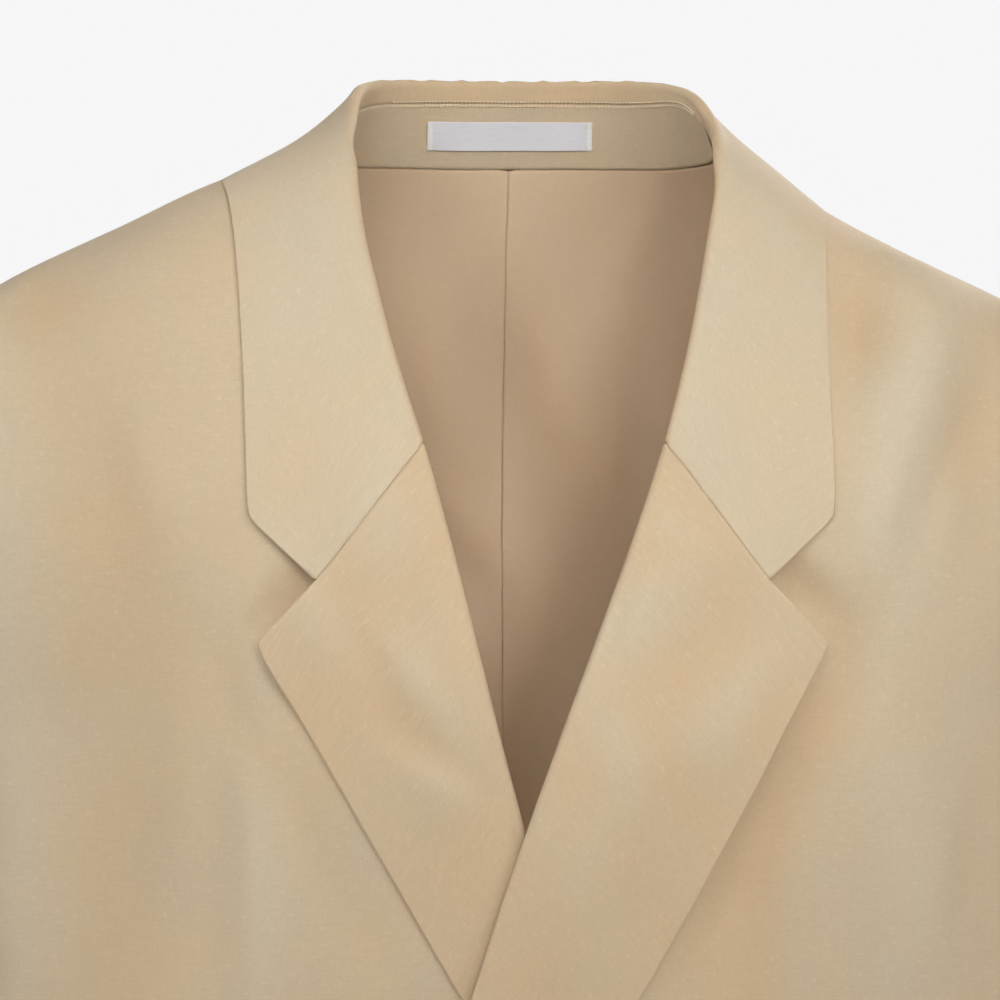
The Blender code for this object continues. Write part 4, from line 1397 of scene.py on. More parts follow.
@dataclass
class Neckline:
    """The collar with its band and label, and the two lapels."""

    dresser: Dresser
    form: Form = FORM_SHAPE
    steps_per_side: int = 96
    lapel_steps: int = 84
    arc_steps: int = 12
    leg_steps: int = 5
    bend_steps: int = 6
    leaf_start: float = 0.15
    leaf_steps: int = 30
    inner_extra: int = 8
    softening: int = 10
    corner_radius: float = 0.0050
    tip_radius: dict[int, float] = field(default_factory=lambda: {1: 0.0018, -1: 0.0032})
    label_size: tuple[float, float] = (0.071, 0.0125)
    edge_drop: float = 0.0011
    foot_lean: float = 0.0010
    left_rise: float = 0.85
    # Even painted light on the collar and band, painted shade on the lapels and on the collar's
    # turned cloth.
    collar_paler: float = 0.5
    band_paler: float = 0.15
    lapel_warmer: float = 0.55
    hidden_warmer: float = 1.3
    pucker: float = 0.00028
    collar_curl: float = 0.0008
    lapel_curl: float = 0.0032
    band_depth: float = 0.0036
    band_lines: int = 14
    label_lines: tuple[int, int] = (15, 73)
    label_off: float = 0.0006
    label_bulge: float = 0.00022
    label_rate: float = 160.0
    label_start: float = 1.0
    roll_step: float = 0.002
    along_step: float = 0.001
    place_step: float = 0.05
    least_fall: float = 0.002

    def __post_init__(self) -> None:
        """Works out the curves through the neck and leaf rows."""
        rows = NECK + LEAF
        self.edge_x = through([row.edge_x for row in rows])
        self.edge_z = through([row.edge_z for row in rows])
        self.fold_z = through([row.fold_z for row in rows])
        self.fold = [through([getattr(row, name) for row in NECK])
                     for name in NeckRow._fields[:4]]
        self.seam_z = through([row.seam_z for row in NECK])
        self.seam_turn = {side: through([neck_seam_turn(row, side) for row in NECK])
                          for side in (1, -1)}
        self.leaf_shares = self._shares()

    def _shares(self) -> Array:
        """Shares across a leaf, with one exactly at the notch."""
        before = round(self.leaf_steps * (NOTCH_SHARE - self.leaf_start))
        inner = np.linspace(self.leaf_start, NOTCH_SHARE, before + self.inner_extra)
        outer = np.linspace(NOTCH_SHARE, 1.0, self.leaf_steps - before)
        return np.concatenate([inner, outer[1:]])

    # ------ stations
    def _beside_roll(self, z: float, side: int, reach: float, off: float) -> tuple[Array, tuple]:
        """The point of the cloth at a distance square to the roll line, and its place.

        Args:
            z: height on the roll line.
            side: 1 for the wearer's left, -1 for the right.
            reach: distance from the roll line.
            off: distance off the form.

        Returns:
            The point, and its distance across and height.
        """
        outer = side > 0
        above, below = roll_x(z + self.roll_step, outer), roll_x(z - self.roll_step, outer)
        slope = (above - below) / (2.0 * self.roll_step)
        step = reach / np.hypot(1.0, slope)
        x, z = float(roll_x(z, outer) + step), float(z - step * slope)
        return self.form.cloth(for_side(side, turn_at(x, z)), z, off=off, outer=outer), (x, z)

    def _roll_station(self, z: float, side: int, reach: float) -> Station:
        """A station of the turned edge on the roll line, with no free edge yet.

        Args:
            z: height on the roll line.
            side: 1 for the wearer's left, -1 for the right.
            reach: length of the hidden leg.

        Returns:
            The station.
        """
        middle = -CLOTH / 2
        fold = self._beside_roll(z, side, 0.0, middle)[0]
        seam = self._beside_roll(z, side, TURN_TUCK, middle)[0]
        foot = self._beside_roll(z, side, TURN_RADIUS + reach, middle - TURN_RADIUS)[0]
        along = (self._beside_roll(z - self.along_step, side, 0.0, middle)[0]
                 - self._beside_roll(z + self.along_step, side, 0.0, middle)[0])
        start_at = (float(roll_x(z, side > 0)), z)
        return Station(0.0, side, fold, seam, foot, unit(along) * side, start_at, None)

    def _neck_fold(self, place: float, side: int) -> Array:
        """The turned edge of the collar round the neck."""
        x, shift, y, z = [float(curve(place)) for curve in self.fold]
        return np.array([side * x + shift, y, z])

    def _collar_station(self, place: float, side: int) -> Station:
        """Turned edge, seam and free edge of the collar, at a place counted in table rows.

        Args:
            place: place round the neck, in rows of the table.
            side: 1 for the wearer's left, -1 for the right.

        Returns:
            The station.
        """
        edge_x, edge_z = float(self.edge_x(place)), float(self.edge_z(place))
        edge_turn = float(turn_at(edge_x, edge_z)) * (1.0 if place >= SHOULDER_ROW else -1.0)
        if place > len(NECK) - 1:
            station = self._roll_station(float(self.fold_z(place)), side, COLLAR_REACH)
            return station._replace(place=place, edge_at=(edge_turn, edge_x, edge_z))
        along = (self._neck_fold(place + self.place_step, side)
                 - self._neck_fold(place - self.place_step, side))
        if place < self.place_step:
            along = np.array([1.0, 0.0, 0.0]) * side
        seam_turn, seam_z = float(self.seam_turn[side](place)), float(self.seam_z(place))
        seam = self.form.cloth(for_side(side, seam_turn), seam_z, off=-CLOTH / 2)
        return Station(place, side, self._neck_fold(place, side), seam, None, unit(along) * side,
                       (side * float(seam[0]), seam_z), (edge_turn, edge_x, edge_z))

    def _collar_stations(self) -> list[Station]:
        """The collar's stations, from its right end to its left."""
        places = np.linspace(0.0, float(len(NECK) + len(LEAF) - 1), self.steps_per_side)
        right = [self._collar_station(float(place), -1) for place in places[::-1]]
        return right + [self._collar_station(float(place), 1) for place in places[1:]]

    def _turned_edge(self, stations: list[Station],
                     reach: Array) -> tuple[list, Array, Array, Array]:
        """Lines of points from the hidden leg round the turned edge, and their directions.

        Args:
            stations: the sections across the edge.
            reach: lengths of the hidden leg.

        Returns:
            The lines, and the directions toward the crest, into the neck and along the edge.
        """
        folds, seams, along = [np.array([getattr(station, name) for station in stations])
                               for name in ("fold", "seam", "along")]
        crest, along, folds = [eased_lines(lines, self.softening)
                               for lines in (folds - seams, along, folds)]
        along = unit(along)
        crest = unit(crest - along * np.sum(crest * along, axis=-1, keepdims=True))
        inward = unit(np.cross(along, crest))
        centre = folds - crest * TURN_RADIUS
        angles = np.linspace(0.0, pi, self.arc_steps + 1)
        arc = [centre + TURN_RADIUS * (cos(a) * inward + sin(a) * crest) for a in angles]
        feet = arc[0] - crest * np.reshape(reach, (-1, 1)) + inward * self.foot_lean
        for foot, station in zip(feet, stations):
            if station.foot is not None:
                foot[:] = station.foot
        feet = eased_lines(feet, self.softening)
        shares = np.linspace(0.0, 1.0, self.leg_steps + 1)[:-1]
        leg = [feet + (arc[0] - feet) * share for share in shares]
        return leg + arc, crest, inward, along

    def _on_leaf(self, station: Station, end_at: tuple[float, float], bend: float, outer: bool,
                 curl: float) -> Array:
        """The row of a leaf that lies on the front.

        Args:
            station: its section of the turned edge.
            end_at: place of its free end.
            bend: share by which it is bent toward the notch.
            outer: whether it lies on the outer front.
            curl: height by which its free end stands off more.

        Returns:
            Points of the row, one for each share.
        """
        share = self.leaf_shares
        dip = bend * np.minimum(share / NOTCH_SHARE, (1.0 - share) / (1.0 - NOTCH_SHARE))
        x, z = [a + (b - a) * share + dip * (notch - a - (b - a) * NOTCH_SHARE)
                for a, b, notch in zip(station.start_at, end_at, NOTCH)]
        off = (LEAF_LIFT - self.edge_drop * ramp(share, *LEAF_SINKS)
               + curl * ramp(share, *LEAF_CURLS))
        turn = for_side(station.side, turn_at(x, z))
        return LEAF_SHAPE.cloth(turn, z, outer=outer) + LEAF_SHAPE.normal(turn, z) * off[:, None]

    def _leaf_grid(self, rolled: list, crest: Array, along: Array, leaf: Array) -> Array:
        """All points of a turned piece: leg, turned edge, the bend into the leaf, and the leaf.

        The turned edge is skewed so that a station runs straight on over it into its leaf.

        Args:
            rolled: lines along the leg and the turned edge.
            crest: directions toward the crest at the stations.
            along: directions along the turned edge.
            leaf: rows of the leaf, one for each station.

        Returns:
            The points, stations by lines.
        """
        first, second = leaf[:, 0], leaf[:, 1]
        top = self.leg_steps + self.arc_steps // 2
        folds = rolled[top]
        across = first - folds
        down = np.maximum(-np.sum(across * crest, axis=-1), self.least_fall)
        ahead = np.sum(across * along, axis=-1) / down
        rolled = list(rolled)
        for i in range(top, len(rolled)):
            below = np.sum((folds - rolled[i]) * crest, axis=-1)
            rolled[i] = rolled[i] + along * (ahead * below)[:, None]
        start = rolled[-1]
        size = np.linalg.norm(first - start, axis=-1, keepdims=True)
        shares = np.linspace(0.0, 1.0, self.bend_steps + 2)[1:-1, None, None]
        leave = unit(along * ahead[:, None] - crest) * size
        between = cubic(shares, start, leave, first, unit(second - first) * size)
        lines = np.concatenate([np.array(rolled), between, leaf.transpose(1, 0, 2)])
        return lines.transpose(1, 0, 2)

    def _leaf_hollow(self, grid: Array) -> Array:
        """Painted shading of a leaf by the depth of its dents: painted shade in dents, painted
        light on rises.
        """
        x, z = grid[..., 0], grid[..., 2]
        return np.clip(-LEAF_SHAPE.folded(x, z, LEAF_DENTS) / DENT_DEPTH, -1.0, 1.0)

    # ------ pieces
    def collar(self) -> Piece:
        """The collar, turned over round the neck and lying on the fronts to its notched ends."""
        stations = self._collar_stations()
        last = stations[-1].place
        risen = np.array([self._risen(station) for station in stations])
        reach = COLLAR_REACH * (1.0 - self.left_rise * risen)
        rolled, crest, inward, along = self._turned_edge(stations, reach)
        rolled = self._puckered(stations, rolled, crest)
        shares = self.leaf_shares[:, None]
        leaf = []
        for station, start, up in zip(stations, rolled[-1], crest):
            turn, edge_x, edge_z = station.edge_at
            edge = LEAF_SHAPE.cloth(for_side(station.side, turn), edge_z,
                                    off=LEAF_LIFT - self.edge_drop)
            lies = float(ramp(station.place, LIES_FROM, LIES_RUN))
            bend = float(ramp(station.place, last - BEND_RUN, BEND_RUN))
            arch = BRIDGE_RISE * 4.0 * shares * (1.0 - shares)
            bridge = start + (edge - start) * shares + up * arch
            lying = self._on_leaf(station, (edge_x, edge_z), bend, False, self.collar_curl * bend)
            leaf.append(bridge + (lying - bridge) * lies)
        grid = self._leaf_grid(rolled, crest, along, eased_lines(np.array(leaf), self.softening))
        # Painted shading of the collar: by its dents, an even painted light over it, and strong
        # painted shade on its turned cloth.
        hidden = 1.0 - ramp(np.arange(grid.shape[1]) / len(rolled), *EDGE_SHOWS)
        tone = self._leaf_hollow(grid) - self.collar_paler + self.hidden_warmer * hidden
        grid = measured_weave(grid, tone)
        for end in (0, -1):
            grid = rounded_corner(grid, end, -1, self.corner_radius)
        self.stations, self.crest, self.inward, self.foot = stations, crest, inward, rolled[0]
        free_end = self._end_finish(grid.shape[1])
        hidden_edge = np.array([float(station.place > STAND_ROWS) for station in stations])
        wall = Shell("collar", grid, COLLAR_CLOTH, (0, 0, 1), first_row=free_end,
                     last_row=free_end, first_col=hidden_edge, last_col=Border.FREE,
                     gaps=(SEAM_GAP, SEAM_GAP, 0.0, 0.0))
        return self.dresser.cloth(wall, LINEN, "collar",
                                  rests_on=["front_left", "front_right"])

    def _puckered(self, stations: list[Station], rolled: list, crest: Array) -> list:
        """The turned lines with the small puckers that the edge has round the neck.

        Args:
            stations: the sections across the edge.
            rolled: lines along the leg and the turned edge.
            crest: directions toward the crest.

        Returns:
            The lines, with the foot left straight.
        """
        x, places = rolled[0][:, 0], [station.place for station in stations]
        wave = sum(each.share * np.sin(x * each.rate + each.start) for each in PUCKERS)
        rise = crest * (self.pucker * (1.0 - ramp(places, *PUCKER_ENDS)) * wave)[:, None]
        return rolled[:2] + [line + rise for line in rolled[2:]]

    def _risen(self, station: Station) -> float:
        """How far the band's top climbs toward the turned edge, at the side of the neck."""
        if station.side < 0:
            return 0.0
        return float(ramp(station.place, *BAND_RISES) * (1.0 - ramp(station.place, *BAND_FALLS)))

    def _end_finish(self, count: int) -> Array:
        """Where an end is sewn to its neighbour (0), up to the notch, and where it is free (1)."""
        before = count - int((self.leaf_shares > NOTCH_SHARE + 1e-6).sum())
        return (np.arange(count) >= before).astype(float)

    def stand(self) -> Piece:
        """The band inside the neck, from the collar's turned cloth down to the neck seam."""
        kept = [i for i, station in enumerate(self.stations) if station.place <= STAND_ROWS]
        seams = np.array([self.stations[i].seam for i in kept])
        self.band_top = self.foot[kept] - self.crest[kept] * BAND_GAP
        self.band_in, self.band_crest = self.inward[kept], self.crest[kept]
        self.band_bottom = seams + self.band_in * self.band_depth + self.band_crest * STAND_GAP
        shares = np.linspace(0.0, 1.0, self.band_lines)[:, None, None]
        grid = self.band_bottom + (self.band_top - self.band_bottom) * shares
        # An even painted light over the whole band.
        grid = measured_weave(grid, -self.band_paler)
        wall = Shell("collar_stand", grid, CLOTH, (0, -1, 0))
        return self.dresser.cloth(wall, LINEN, "collar_stand", rests_on=["collar"])

    def band_line(self, columns: Array, rise: float, off: float) -> Array:
        """Points on the band's face at given distances across.

        Args:
            columns: distances across, from the centre back.
            rise: height above the middle of the band.
            off: distance that the points stand off the band.

        Returns:
            The points, before the garment's lean.
        """
        middle = len(self.band_bottom) // 2
        height = np.linalg.norm(self.band_top[middle] - self.band_bottom[middle])
        line = self.band_bottom + (self.band_top - self.band_bottom) * (0.5 + rise / height)
        return across_at(line + self.band_in * off, columns)

    def label(self) -> Piece:
        """A bare woven label on the band, at the centre back."""
        width, height = self.label_size
        columns = np.linspace(-width / 2, width / 2, self.label_lines[1])
        rises = np.linspace(-height / 2, height / 2, self.label_lines[0])
        wave = self.label_bulge * np.sin(columns * self.label_rate + self.label_start)
        rows = []
        for rise in rises:
            off = self.label_off + LABEL_CLOTH + wave * (rise / height + 0.5)
            rows.append(self.band_line(columns, float(rise), 0.0) - off[:, None] * (0.0, 1.0, 0.0))
        grid = with_weave(np.array(rows), columns + width / 2, rises[:, None])
        free = Border.FREE
        wall = Shell("label", grid, LABEL_CLOTH, (0, -1, 0), first_row=free, last_row=free,
                     first_col=free, last_col=free)
        return self.dresser.cloth(wall, SATIN, "label", held="laid", rests_on=["collar_stand"])

    def lapel(self, side: int) -> Piece:
        """A turned-back lapel: the strip behind the front, the roll, and the leaf."""
        outer = side > 0
        edge = Curve.of(LAPEL_EDGE, "outer_x" if outer else "inner_x")
        steps = np.linspace(0.0, LAPEL_END, self.lapel_steps)
        heights = GORGE_Z + (BREAK_Z - GORGE_Z) * steps
        stations = [self._roll_station(float(z), side, LAPEL_REACH) for z in heights]
        rolled, crest, _, along = self._turned_edge(stations, np.array([LAPEL_REACH]))
        leaf = []
        for step, station in zip(steps, stations):
            edge_z = LAPEL_TIP_Z + (BREAK_Z - LAPEL_TIP_Z) * step
            bend = 1.0 - float(ramp(step, *LAPEL_BENDS))
            end_at = (float(edge(edge_z)), float(edge_z))
            leaf.append(self._on_leaf(station, end_at, bend, outer, self.lapel_curl * bend))
        grid = self._leaf_grid(rolled, crest, along, np.array(leaf))
        # Painted shading of the lapel: by its dents, and an even darker, warmer painted shade over
        # the whole lapel.
        grid = measured_weave(grid, self._leaf_hollow(grid) + self.lapel_warmer)
        grid = rounded_corner(grid, 0, -1, self.tip_radius[side])
        wall = Shell(f"lapel_{word(side)}", grid, LAPEL_CLOTH, (0, -1, 0),
                     first_row=self._end_finish(grid.shape[1]), last_row=Border.FREE,
                     first_col=Border.FREE, last_col=Border.FREE,
                     gaps=(HALF_GAP, 0.0, 0.0, 0.0))
        return self.dresser.cloth(wall, LINEN, "lapel", held="folded",
                                  rests_on=[f"front_{word(side)}"])


# ------ sleeves
@dataclass
class Sleeve:
    """One two-piece sleeve, cut from a single tube so that its pieces match at the seams."""

    dresser: Dresser
    side: int
    form: Form = FORM_SHAPE
    cap_steps: int = 36
    arm_steps: int = 76
    top_columns: int = 72
    under_columns: int = 40
    cap_roll: float = 0.0014
    roll_share: float = 0.06
    roll_width: float = 0.05
    roll_way: Triple = (0.3, 0.0, 1.0)
    under_way: Triple = (0.62, 0.0, -0.78)
    top_way: Triple = (0.92, 0.0, -0.44)
    down_way: Triple = (0.03, 0.0, -1.0)

    def __post_init__(self) -> None:
        """Works out the curves down the arm."""
        self.curves = {name: Curve.of(ARM, name) for name in ArmRow._fields[1:]}

    def _arm(self, turn: Array, z: Array) -> Array:
        """Points below the armhole; turn is 0 outside, 90 at the front and 180 inside.

        Args:
            turn: turns about the arm, in degrees.
            z: heights.

        Returns:
            The points, one for each pair of turn and height.
        """
        angle = np.radians(turn)
        rise = 0.0 * turn * z
        for fold in ARM_FOLDS + ARM_CREASES:
            turned = (turn - fold.turn + 180.0) % 360.0 - 180.0
            height = (z - fold.z - fold.climb * turned) / fold.half_height
            rise = rise + fold.high * np.exp(-(turned / fold.half_turn)**2 - height**2)
        x = self.curves["x"](z) + (self.curves["half_x"](z) + rise) * np.cos(angle)
        y = self.curves["y"](z) - (self.curves["half_y"](z) + rise) * np.sin(angle)
        return np.stack([x, y, z + 0.0 * x], axis=-1)

    def _tube(self, turns: Array) -> Array:
        """The tube's points, lines from the armhole to the cuff by turns.

        Args:
            turns: turns about the arm, in degrees.

        Returns:
            The points, lines by turns.
        """
        body_turn, z = armhole(np.radians(turns))
        mirror = np.array([self.side, 1.0, 1.0])
        start = self.form.cloth(for_side(self.side, body_turn), z) * mirror
        top_z = ARM[0].z
        end = self._arm(turns, np.full_like(turns, top_z))
        share = ((1.0 + np.cos(np.radians(turns))) / 2.0)[:, None]
        under, top, down, roll = [np.array(way) for way in (self.under_way, self.top_way,
                                                            self.down_way, self.roll_way)]
        out = unit(under + (top - under) * share)
        size = np.linalg.norm(end - start, axis=-1, keepdims=True)
        shares = np.linspace(0.0, 1.0, self.cap_steps + 1)[:, None, None]
        cap = cubic(shares, start - out * SLEEVE_TUCK, out * size, end, down * size)
        near = np.exp(-((shares - self.roll_share) / self.roll_width)**2)
        cap = cap + near * self.cap_roll * share * roll
        heights = np.linspace(top_z, ARM[-1].z, self.arm_steps + 1)[1:]
        arm = self._arm(turns[None, :], heights[:, None])
        return np.concatenate([cap, arm]) * mirror

    def piece(self, part: str, first: float, last: float, columns: int) -> Piece:
        """One of the two pieces, between two turns of the tube.

        Args:
            part: top or under.
            first: its first turn.
            last: its last turn.
            columns: how many columns it has.

        Returns:
            The dressed piece.
        """
        turns = np.linspace(first, last, columns)
        grid = measured_weave(self._tube(turns))
        facing = (self.side, 0, 0) if part == "top" else (-self.side, 0, 0)
        wall = Shell(f"sleeve_{part}_{word(self.side)}", grid, CLOTH, facing,
                     last_row=Border.FREE, gaps=(0.0, 0.0, HALF_GAP, HALF_GAP))
        return self.dresser.cloth(wall, LINEN, f"sleeve_{part}")

    def build(self) -> None:
        """Makes the top and the under sleeve."""
        seam = float(np.degrees(SIDE_ANGLE * (1.0 - SLEEVE_SEAM_SHARE) / (1.0 - SEAM_SHARE)))
        self.piece("top", -seam, seam, self.top_columns)
        self.piece("under", seam, 360.0 - seam, self.under_columns)


# ------ stitches
class Stitch(NamedTuple):
    """Distance from one stitch to the next, its length, and its thread's radius."""

    pitch: float
    length: float
    radius: float


BAND_STITCH = Stitch(0.0016, 0.0014, 0.00036)
TACK_STITCH = Stitch(0.0012, 0.0012, 0.00013)
BUTTON_STITCH = Stitch(0.0005, 0.0011, 0.00018)


@dataclass
class StitchMaker:
    """Lays stitches along paths with Geometry Nodes."""

    dresser: Dresser
    sides: int = 6
    rings: int = 5

    def __post_init__(self) -> None:
        """Builds the node tree once."""
        self.tree = self._tree()

    def _tree(self) -> bpy.types.NodeTree:
        """A tree that turns a path into a row of stitches, each a short bulged bar."""
        tree = bpy.data.node_groups.new("stitch_row", "GeometryNodeTree")
        sockets = tree.interface
        sockets.new_socket("Geometry", in_out="INPUT", socket_type="NodeSocketGeometry")
        for name in ("Pitch", "Stitch Length", "Thread Radius"):
            sockets.new_socket(name, in_out="INPUT", socket_type="NodeSocketFloat")
        sockets.new_socket("Material", in_out="INPUT", socket_type="NodeSocketMaterial")
        sockets.new_socket("Geometry", in_out="OUTPUT", socket_type="NodeSocketGeometry")
        graph = Graph(tree)
        given = graph.node("NodeGroupInput")
        curve = graph.node("GeometryNodeMeshToCurve", {0: given.outputs["Geometry"]})
        points = graph.node("GeometryNodeResampleCurve",
                            {"Curve": curve.outputs[0], "Length": given.outputs["Pitch"]},
                            mode="LENGTH")
        tangent = graph.node("GeometryNodeInputTangent")
        turn = graph.node("FunctionNodeAlignRotationToVector", {"Vector": tangent.outputs[0]},
                          axis="Z")
        bar = graph.node("GeometryNodeMeshUVSphere",
                         {"Segments": self.sides, "Rings": self.rings, "Radius": 0.5})
        wide = graph.math("MULTIPLY", given.outputs["Thread Radius"], 2.0)
        size = graph.node("ShaderNodeCombineXYZ",
                          {0: wide, 1: wide, 2: given.outputs["Stitch Length"]})
        placed = graph.node("GeometryNodeInstanceOnPoints",
                            {"Points": points.outputs[0], "Instance": bar.outputs[0],
                             "Rotation": turn.outputs[0], "Scale": size.outputs[0]})
        real = graph.node("GeometryNodeRealizeInstances", {0: placed.outputs[0]})
        shade = graph.node("GeometryNodeSetMaterial", {"Geometry": real.outputs[0],
                                                       "Material": given.outputs["Material"]})
        graph.node("NodeGroupOutput", {0: shade.outputs[0]})
        return tree

    def rows(self, name: str, paths: Sequence[Array], stitch: Stitch, finish: str,
             slot: str) -> Piece:
        """Rows of stitches as one plain mesh.

        Args:
            name: name of the piece.
            paths: points of each row.
            stitch: the stitches' size and spacing.
            finish: material of the thread.
            slot: not used.

        Returns:
            The dressed piece.
        """
        points, edges = [], []
        for path in paths:
            first = len(points)
            points += [tuple(point) for point in path]
            edges += [(i, i + 1) for i in range(first, len(points) - 1)]
        mesh = bpy.data.meshes.new(name)
        mesh.from_pydata(points, edges, [])
        made = linked(name, mesh)
        modifier = made.modifiers.new("stitches", "NODES")
        modifier.node_group = self.tree
        values = {"Pitch": stitch.pitch, "Stitch Length": stitch.length,
                  "Thread Radius": stitch.radius, "Material": self.dresser.materials[finish]}
        for item in self.tree.interface.items_tree:
            if item.in_out == "INPUT" and item.name in values:
                modifier[item.identifier] = values[item.name]
        view = bpy.context.evaluated_depsgraph_get()
        plain = bpy.data.meshes.new_from_object(made.evaluated_get(view))
        made.modifiers.clear()
        made.data = plain
        plain.name = name
        plain.shade_smooth()
        return self.dresser.fixed(made, finish, slot)


@dataclass
class Stitching:
    """The visible hand and machine stitches."""

    maker: StitchMaker
    neckline: Neckline
    row_offset: float = 0.0010
    row_off: float = 0.00028
    start_x: float = -0.0505
    end_x: float = 0.0745
    row_points: int = 160
    tack_count: int = 3
    tack_half: float = 0.0011
    tack_step: float = 0.0007
    tack_slant: float = 0.4
    tack_in: tuple[float, float] = (0.0009, 0.0012)
    tack_off: float = 0.0014

    def band_rows(self) -> Piece:
        """Twin rows along the seam between the collar's turned cloth and the band."""
        neck = self.neckline
        columns = np.linspace(self.start_x, self.end_x, self.row_points)
        paths = []
        for rise in (self.row_offset, -self.row_offset):
            line = neck.band_top + neck.band_crest * rise + neck.band_in * self.row_off
            paths.append(leaned(across_at(line, columns)))
        return self.maker.rows("band_stitches", paths, BAND_STITCH, THREAD, LINEN)

    def label_corners(self) -> Piece:
        """Short tacking stitches at the label's four corners."""
        neck = self.neckline
        width, height = neck.label_size
        paths = []
        for sx, sz, count in product((-1, 1), (-1, 1), range(self.tack_count)):
            shift = count * self.tack_step
            x = sx * (width / 2 - self.tack_in[0] - shift * self.tack_slant)
            rise = sz * (height / 2 - self.tack_in[1] - shift)
            path = neck.band_line(np.array([x - self.tack_half, x, x + self.tack_half]), rise, 0.0)
            paths.append(leaned(path - np.array([0.0, self.tack_off, 0.0])))
        return self.maker.rows("label_stitches", paths, TACK_STITCH, THREAD, SATIN)


# ------ buttons
class ProfileRow(NamedTuple):
    """A ring of the button's turned outline."""

    radius: float
    height: float


@dataclass
class Button:
    """A four-hole horn button, sewn through with thread."""

    dresser: Dresser
    form: Form = FORM_SHAPE
    radius: float = 0.0105
    height: float = 0.0034
    hole_radius: float = 0.0010
    hole_offset: float = 0.0020
    seat: float = 0.0004
    thread_gap: float = 0.0003
    thread_rise: float = 0.0002
    thread_low: float = 0.55
    thread_high: float = 0.84
    thread_inner: float = 0.8
    sides: int = 72
    hole_sides: int = 20
    sharp_angle: float = 50.0
    profile: tuple[ProfileRow, ...] = table(
        ProfileRow,
        (0.0, 0.0), (0.66, 0.0), (0.84, 0.10), (0.95, 0.28), (1.0, 0.50), (0.995, 0.72),
        (0.97, 0.90), (0.92, 0.99), (0.86, 0.99), (0.80, 0.90), (0.74, 0.80), (0.60, 0.76),
        (0.0, 0.74),
    )

    def _turned(self) -> bpy.types.Mesh:
        """The button's turned solid, its back on the plane z = 0."""
        body = bmesh.new()
        rings = []
        for row in self.profile:
            if row.radius == 0.0:
                rings.append([body.verts.new((0.0, 0.0, row.height * self.height))])
                continue
            angles = [2.0 * pi * i / self.sides for i in range(self.sides)]
            radius, height = row.radius * self.radius, row.height * self.height
            rings.append([body.verts.new((radius * cos(a), radius * sin(a), height))
                          for a in angles])
        for low, high in zip(rings, rings[1:]):
            for i in range(self.sides):
                j = (i + 1) % self.sides
                ring = [low[i % len(low)], low[j % len(low)],
                        high[j % len(high)], high[i % len(high)]]
                body.faces.new(list(dict.fromkeys(ring)))
        bmesh.ops.recalc_face_normals(body, faces=body.faces)
        mesh = bpy.data.meshes.new("button_turned")
        body.to_mesh(mesh)
        body.free()
        return mesh

    def _holes(self) -> bpy.types.Mesh:
        """Four round pegs, to cut the thread holes."""
        pegs = bmesh.new()
        for sx, sy in product((-1, 1), (-1, 1)):
            place = Matrix.Translation((sx * self.hole_offset, sy * self.hole_offset,
                                        self.height / 2))
            bmesh.ops.create_cone(pegs, cap_ends=True, segments=self.hole_sides,
                                  radius1=self.hole_radius, radius2=self.hole_radius,
                                  depth=self.height * 3, matrix=place)
        mesh = bpy.data.meshes.new("button_pegs")
        pegs.to_mesh(mesh)
        pegs.free()
        return mesh

    def drilled(self) -> bpy.types.Mesh:
        """The turned button with its holes cut."""
        blank = linked("button_blank", self._turned())
        pegs = linked("button_pegs", self._holes())
        cut = blank.modifiers.new("holes", "BOOLEAN")
        cut.operation = "DIFFERENCE"
        cut.object = pegs
        view = bpy.context.evaluated_depsgraph_get()
        mesh = bpy.data.meshes.new_from_object(blank.evaluated_get(view))
        for item in (blank, pegs):
            bpy.data.objects.remove(item, do_unlink=True)
        mesh.shade_smooth()
        mesh.set_sharp_from_angle(angle=radians(self.sharp_angle))
        return mesh

    def frame(self, x: float, z: float) -> Matrix:
        """Place and direction of a button on the outer front.

        Args:
            x: distance across.
            z: height.

        Returns:
            The matrix that places a button there.
        """
        turn = turn_at(x, z)
        out = Vector(self.form.normal(turn, z))
        made = out.to_track_quat("Z", "Y").to_matrix().to_4x4()
        made.translation = Vector(self.form.cloth(turn, z, outer=True)) + out * self.seat
        return made

    def build(self, name: str, x: float, z: float, mesh: bpy.types.Mesh) -> Piece:
        """Places one button as a piece that stands for its solid.

        Args:
            name: name of its solid.
            x: distance across.
            z: height.
            mesh: the button, at the origin.

        Returns:
            The dressed piece.
        """
        placed = mesh.copy()
        placed.name = name
        placed.transform(self.frame(x, z))
        made = linked(f"{name}_turned", placed)
        self.dresser.fixed(made, HORN)
        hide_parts(name)
        return made

    def thread_paths(self, x: float, z: float) -> list[Array]:
        """The thread's paths over the button, in two bars.

        Args:
            x: distance across.
            z: height.

        Returns:
            Points of each strand.
        """
        frame_at = self.frame(x, z)
        paths = []
        low = self.thread_low * self.height
        high = self.thread_high * self.height + self.thread_gap
        reach, inner = self.hole_offset, self.thread_inner * self.hole_offset
        for sy, strand in product((-1, 1), (-1, 0, 1)):
            y = sy * self.hole_offset + strand * self.thread_gap
            line = [(-reach, y, low), (-inner, y, high), (0.0, y, high + self.thread_rise),
                    (inner, y, high), (reach, y, low)]
            paths.append(np.array([frame_at @ Vector(point) for point in line]))
        return paths


BUTTON_X = 0.055
BUTTON_ROWS = {"upper": -0.492, "lower": -0.602}


# ------ studio
class Lamp(NamedTuple):
    """A square soft light: place, aim, length of its sides, watts and spread in degrees."""

    name: str
    place: Triple
    aim: Triple
    size: float
    power: float
    spread: float = 180.0


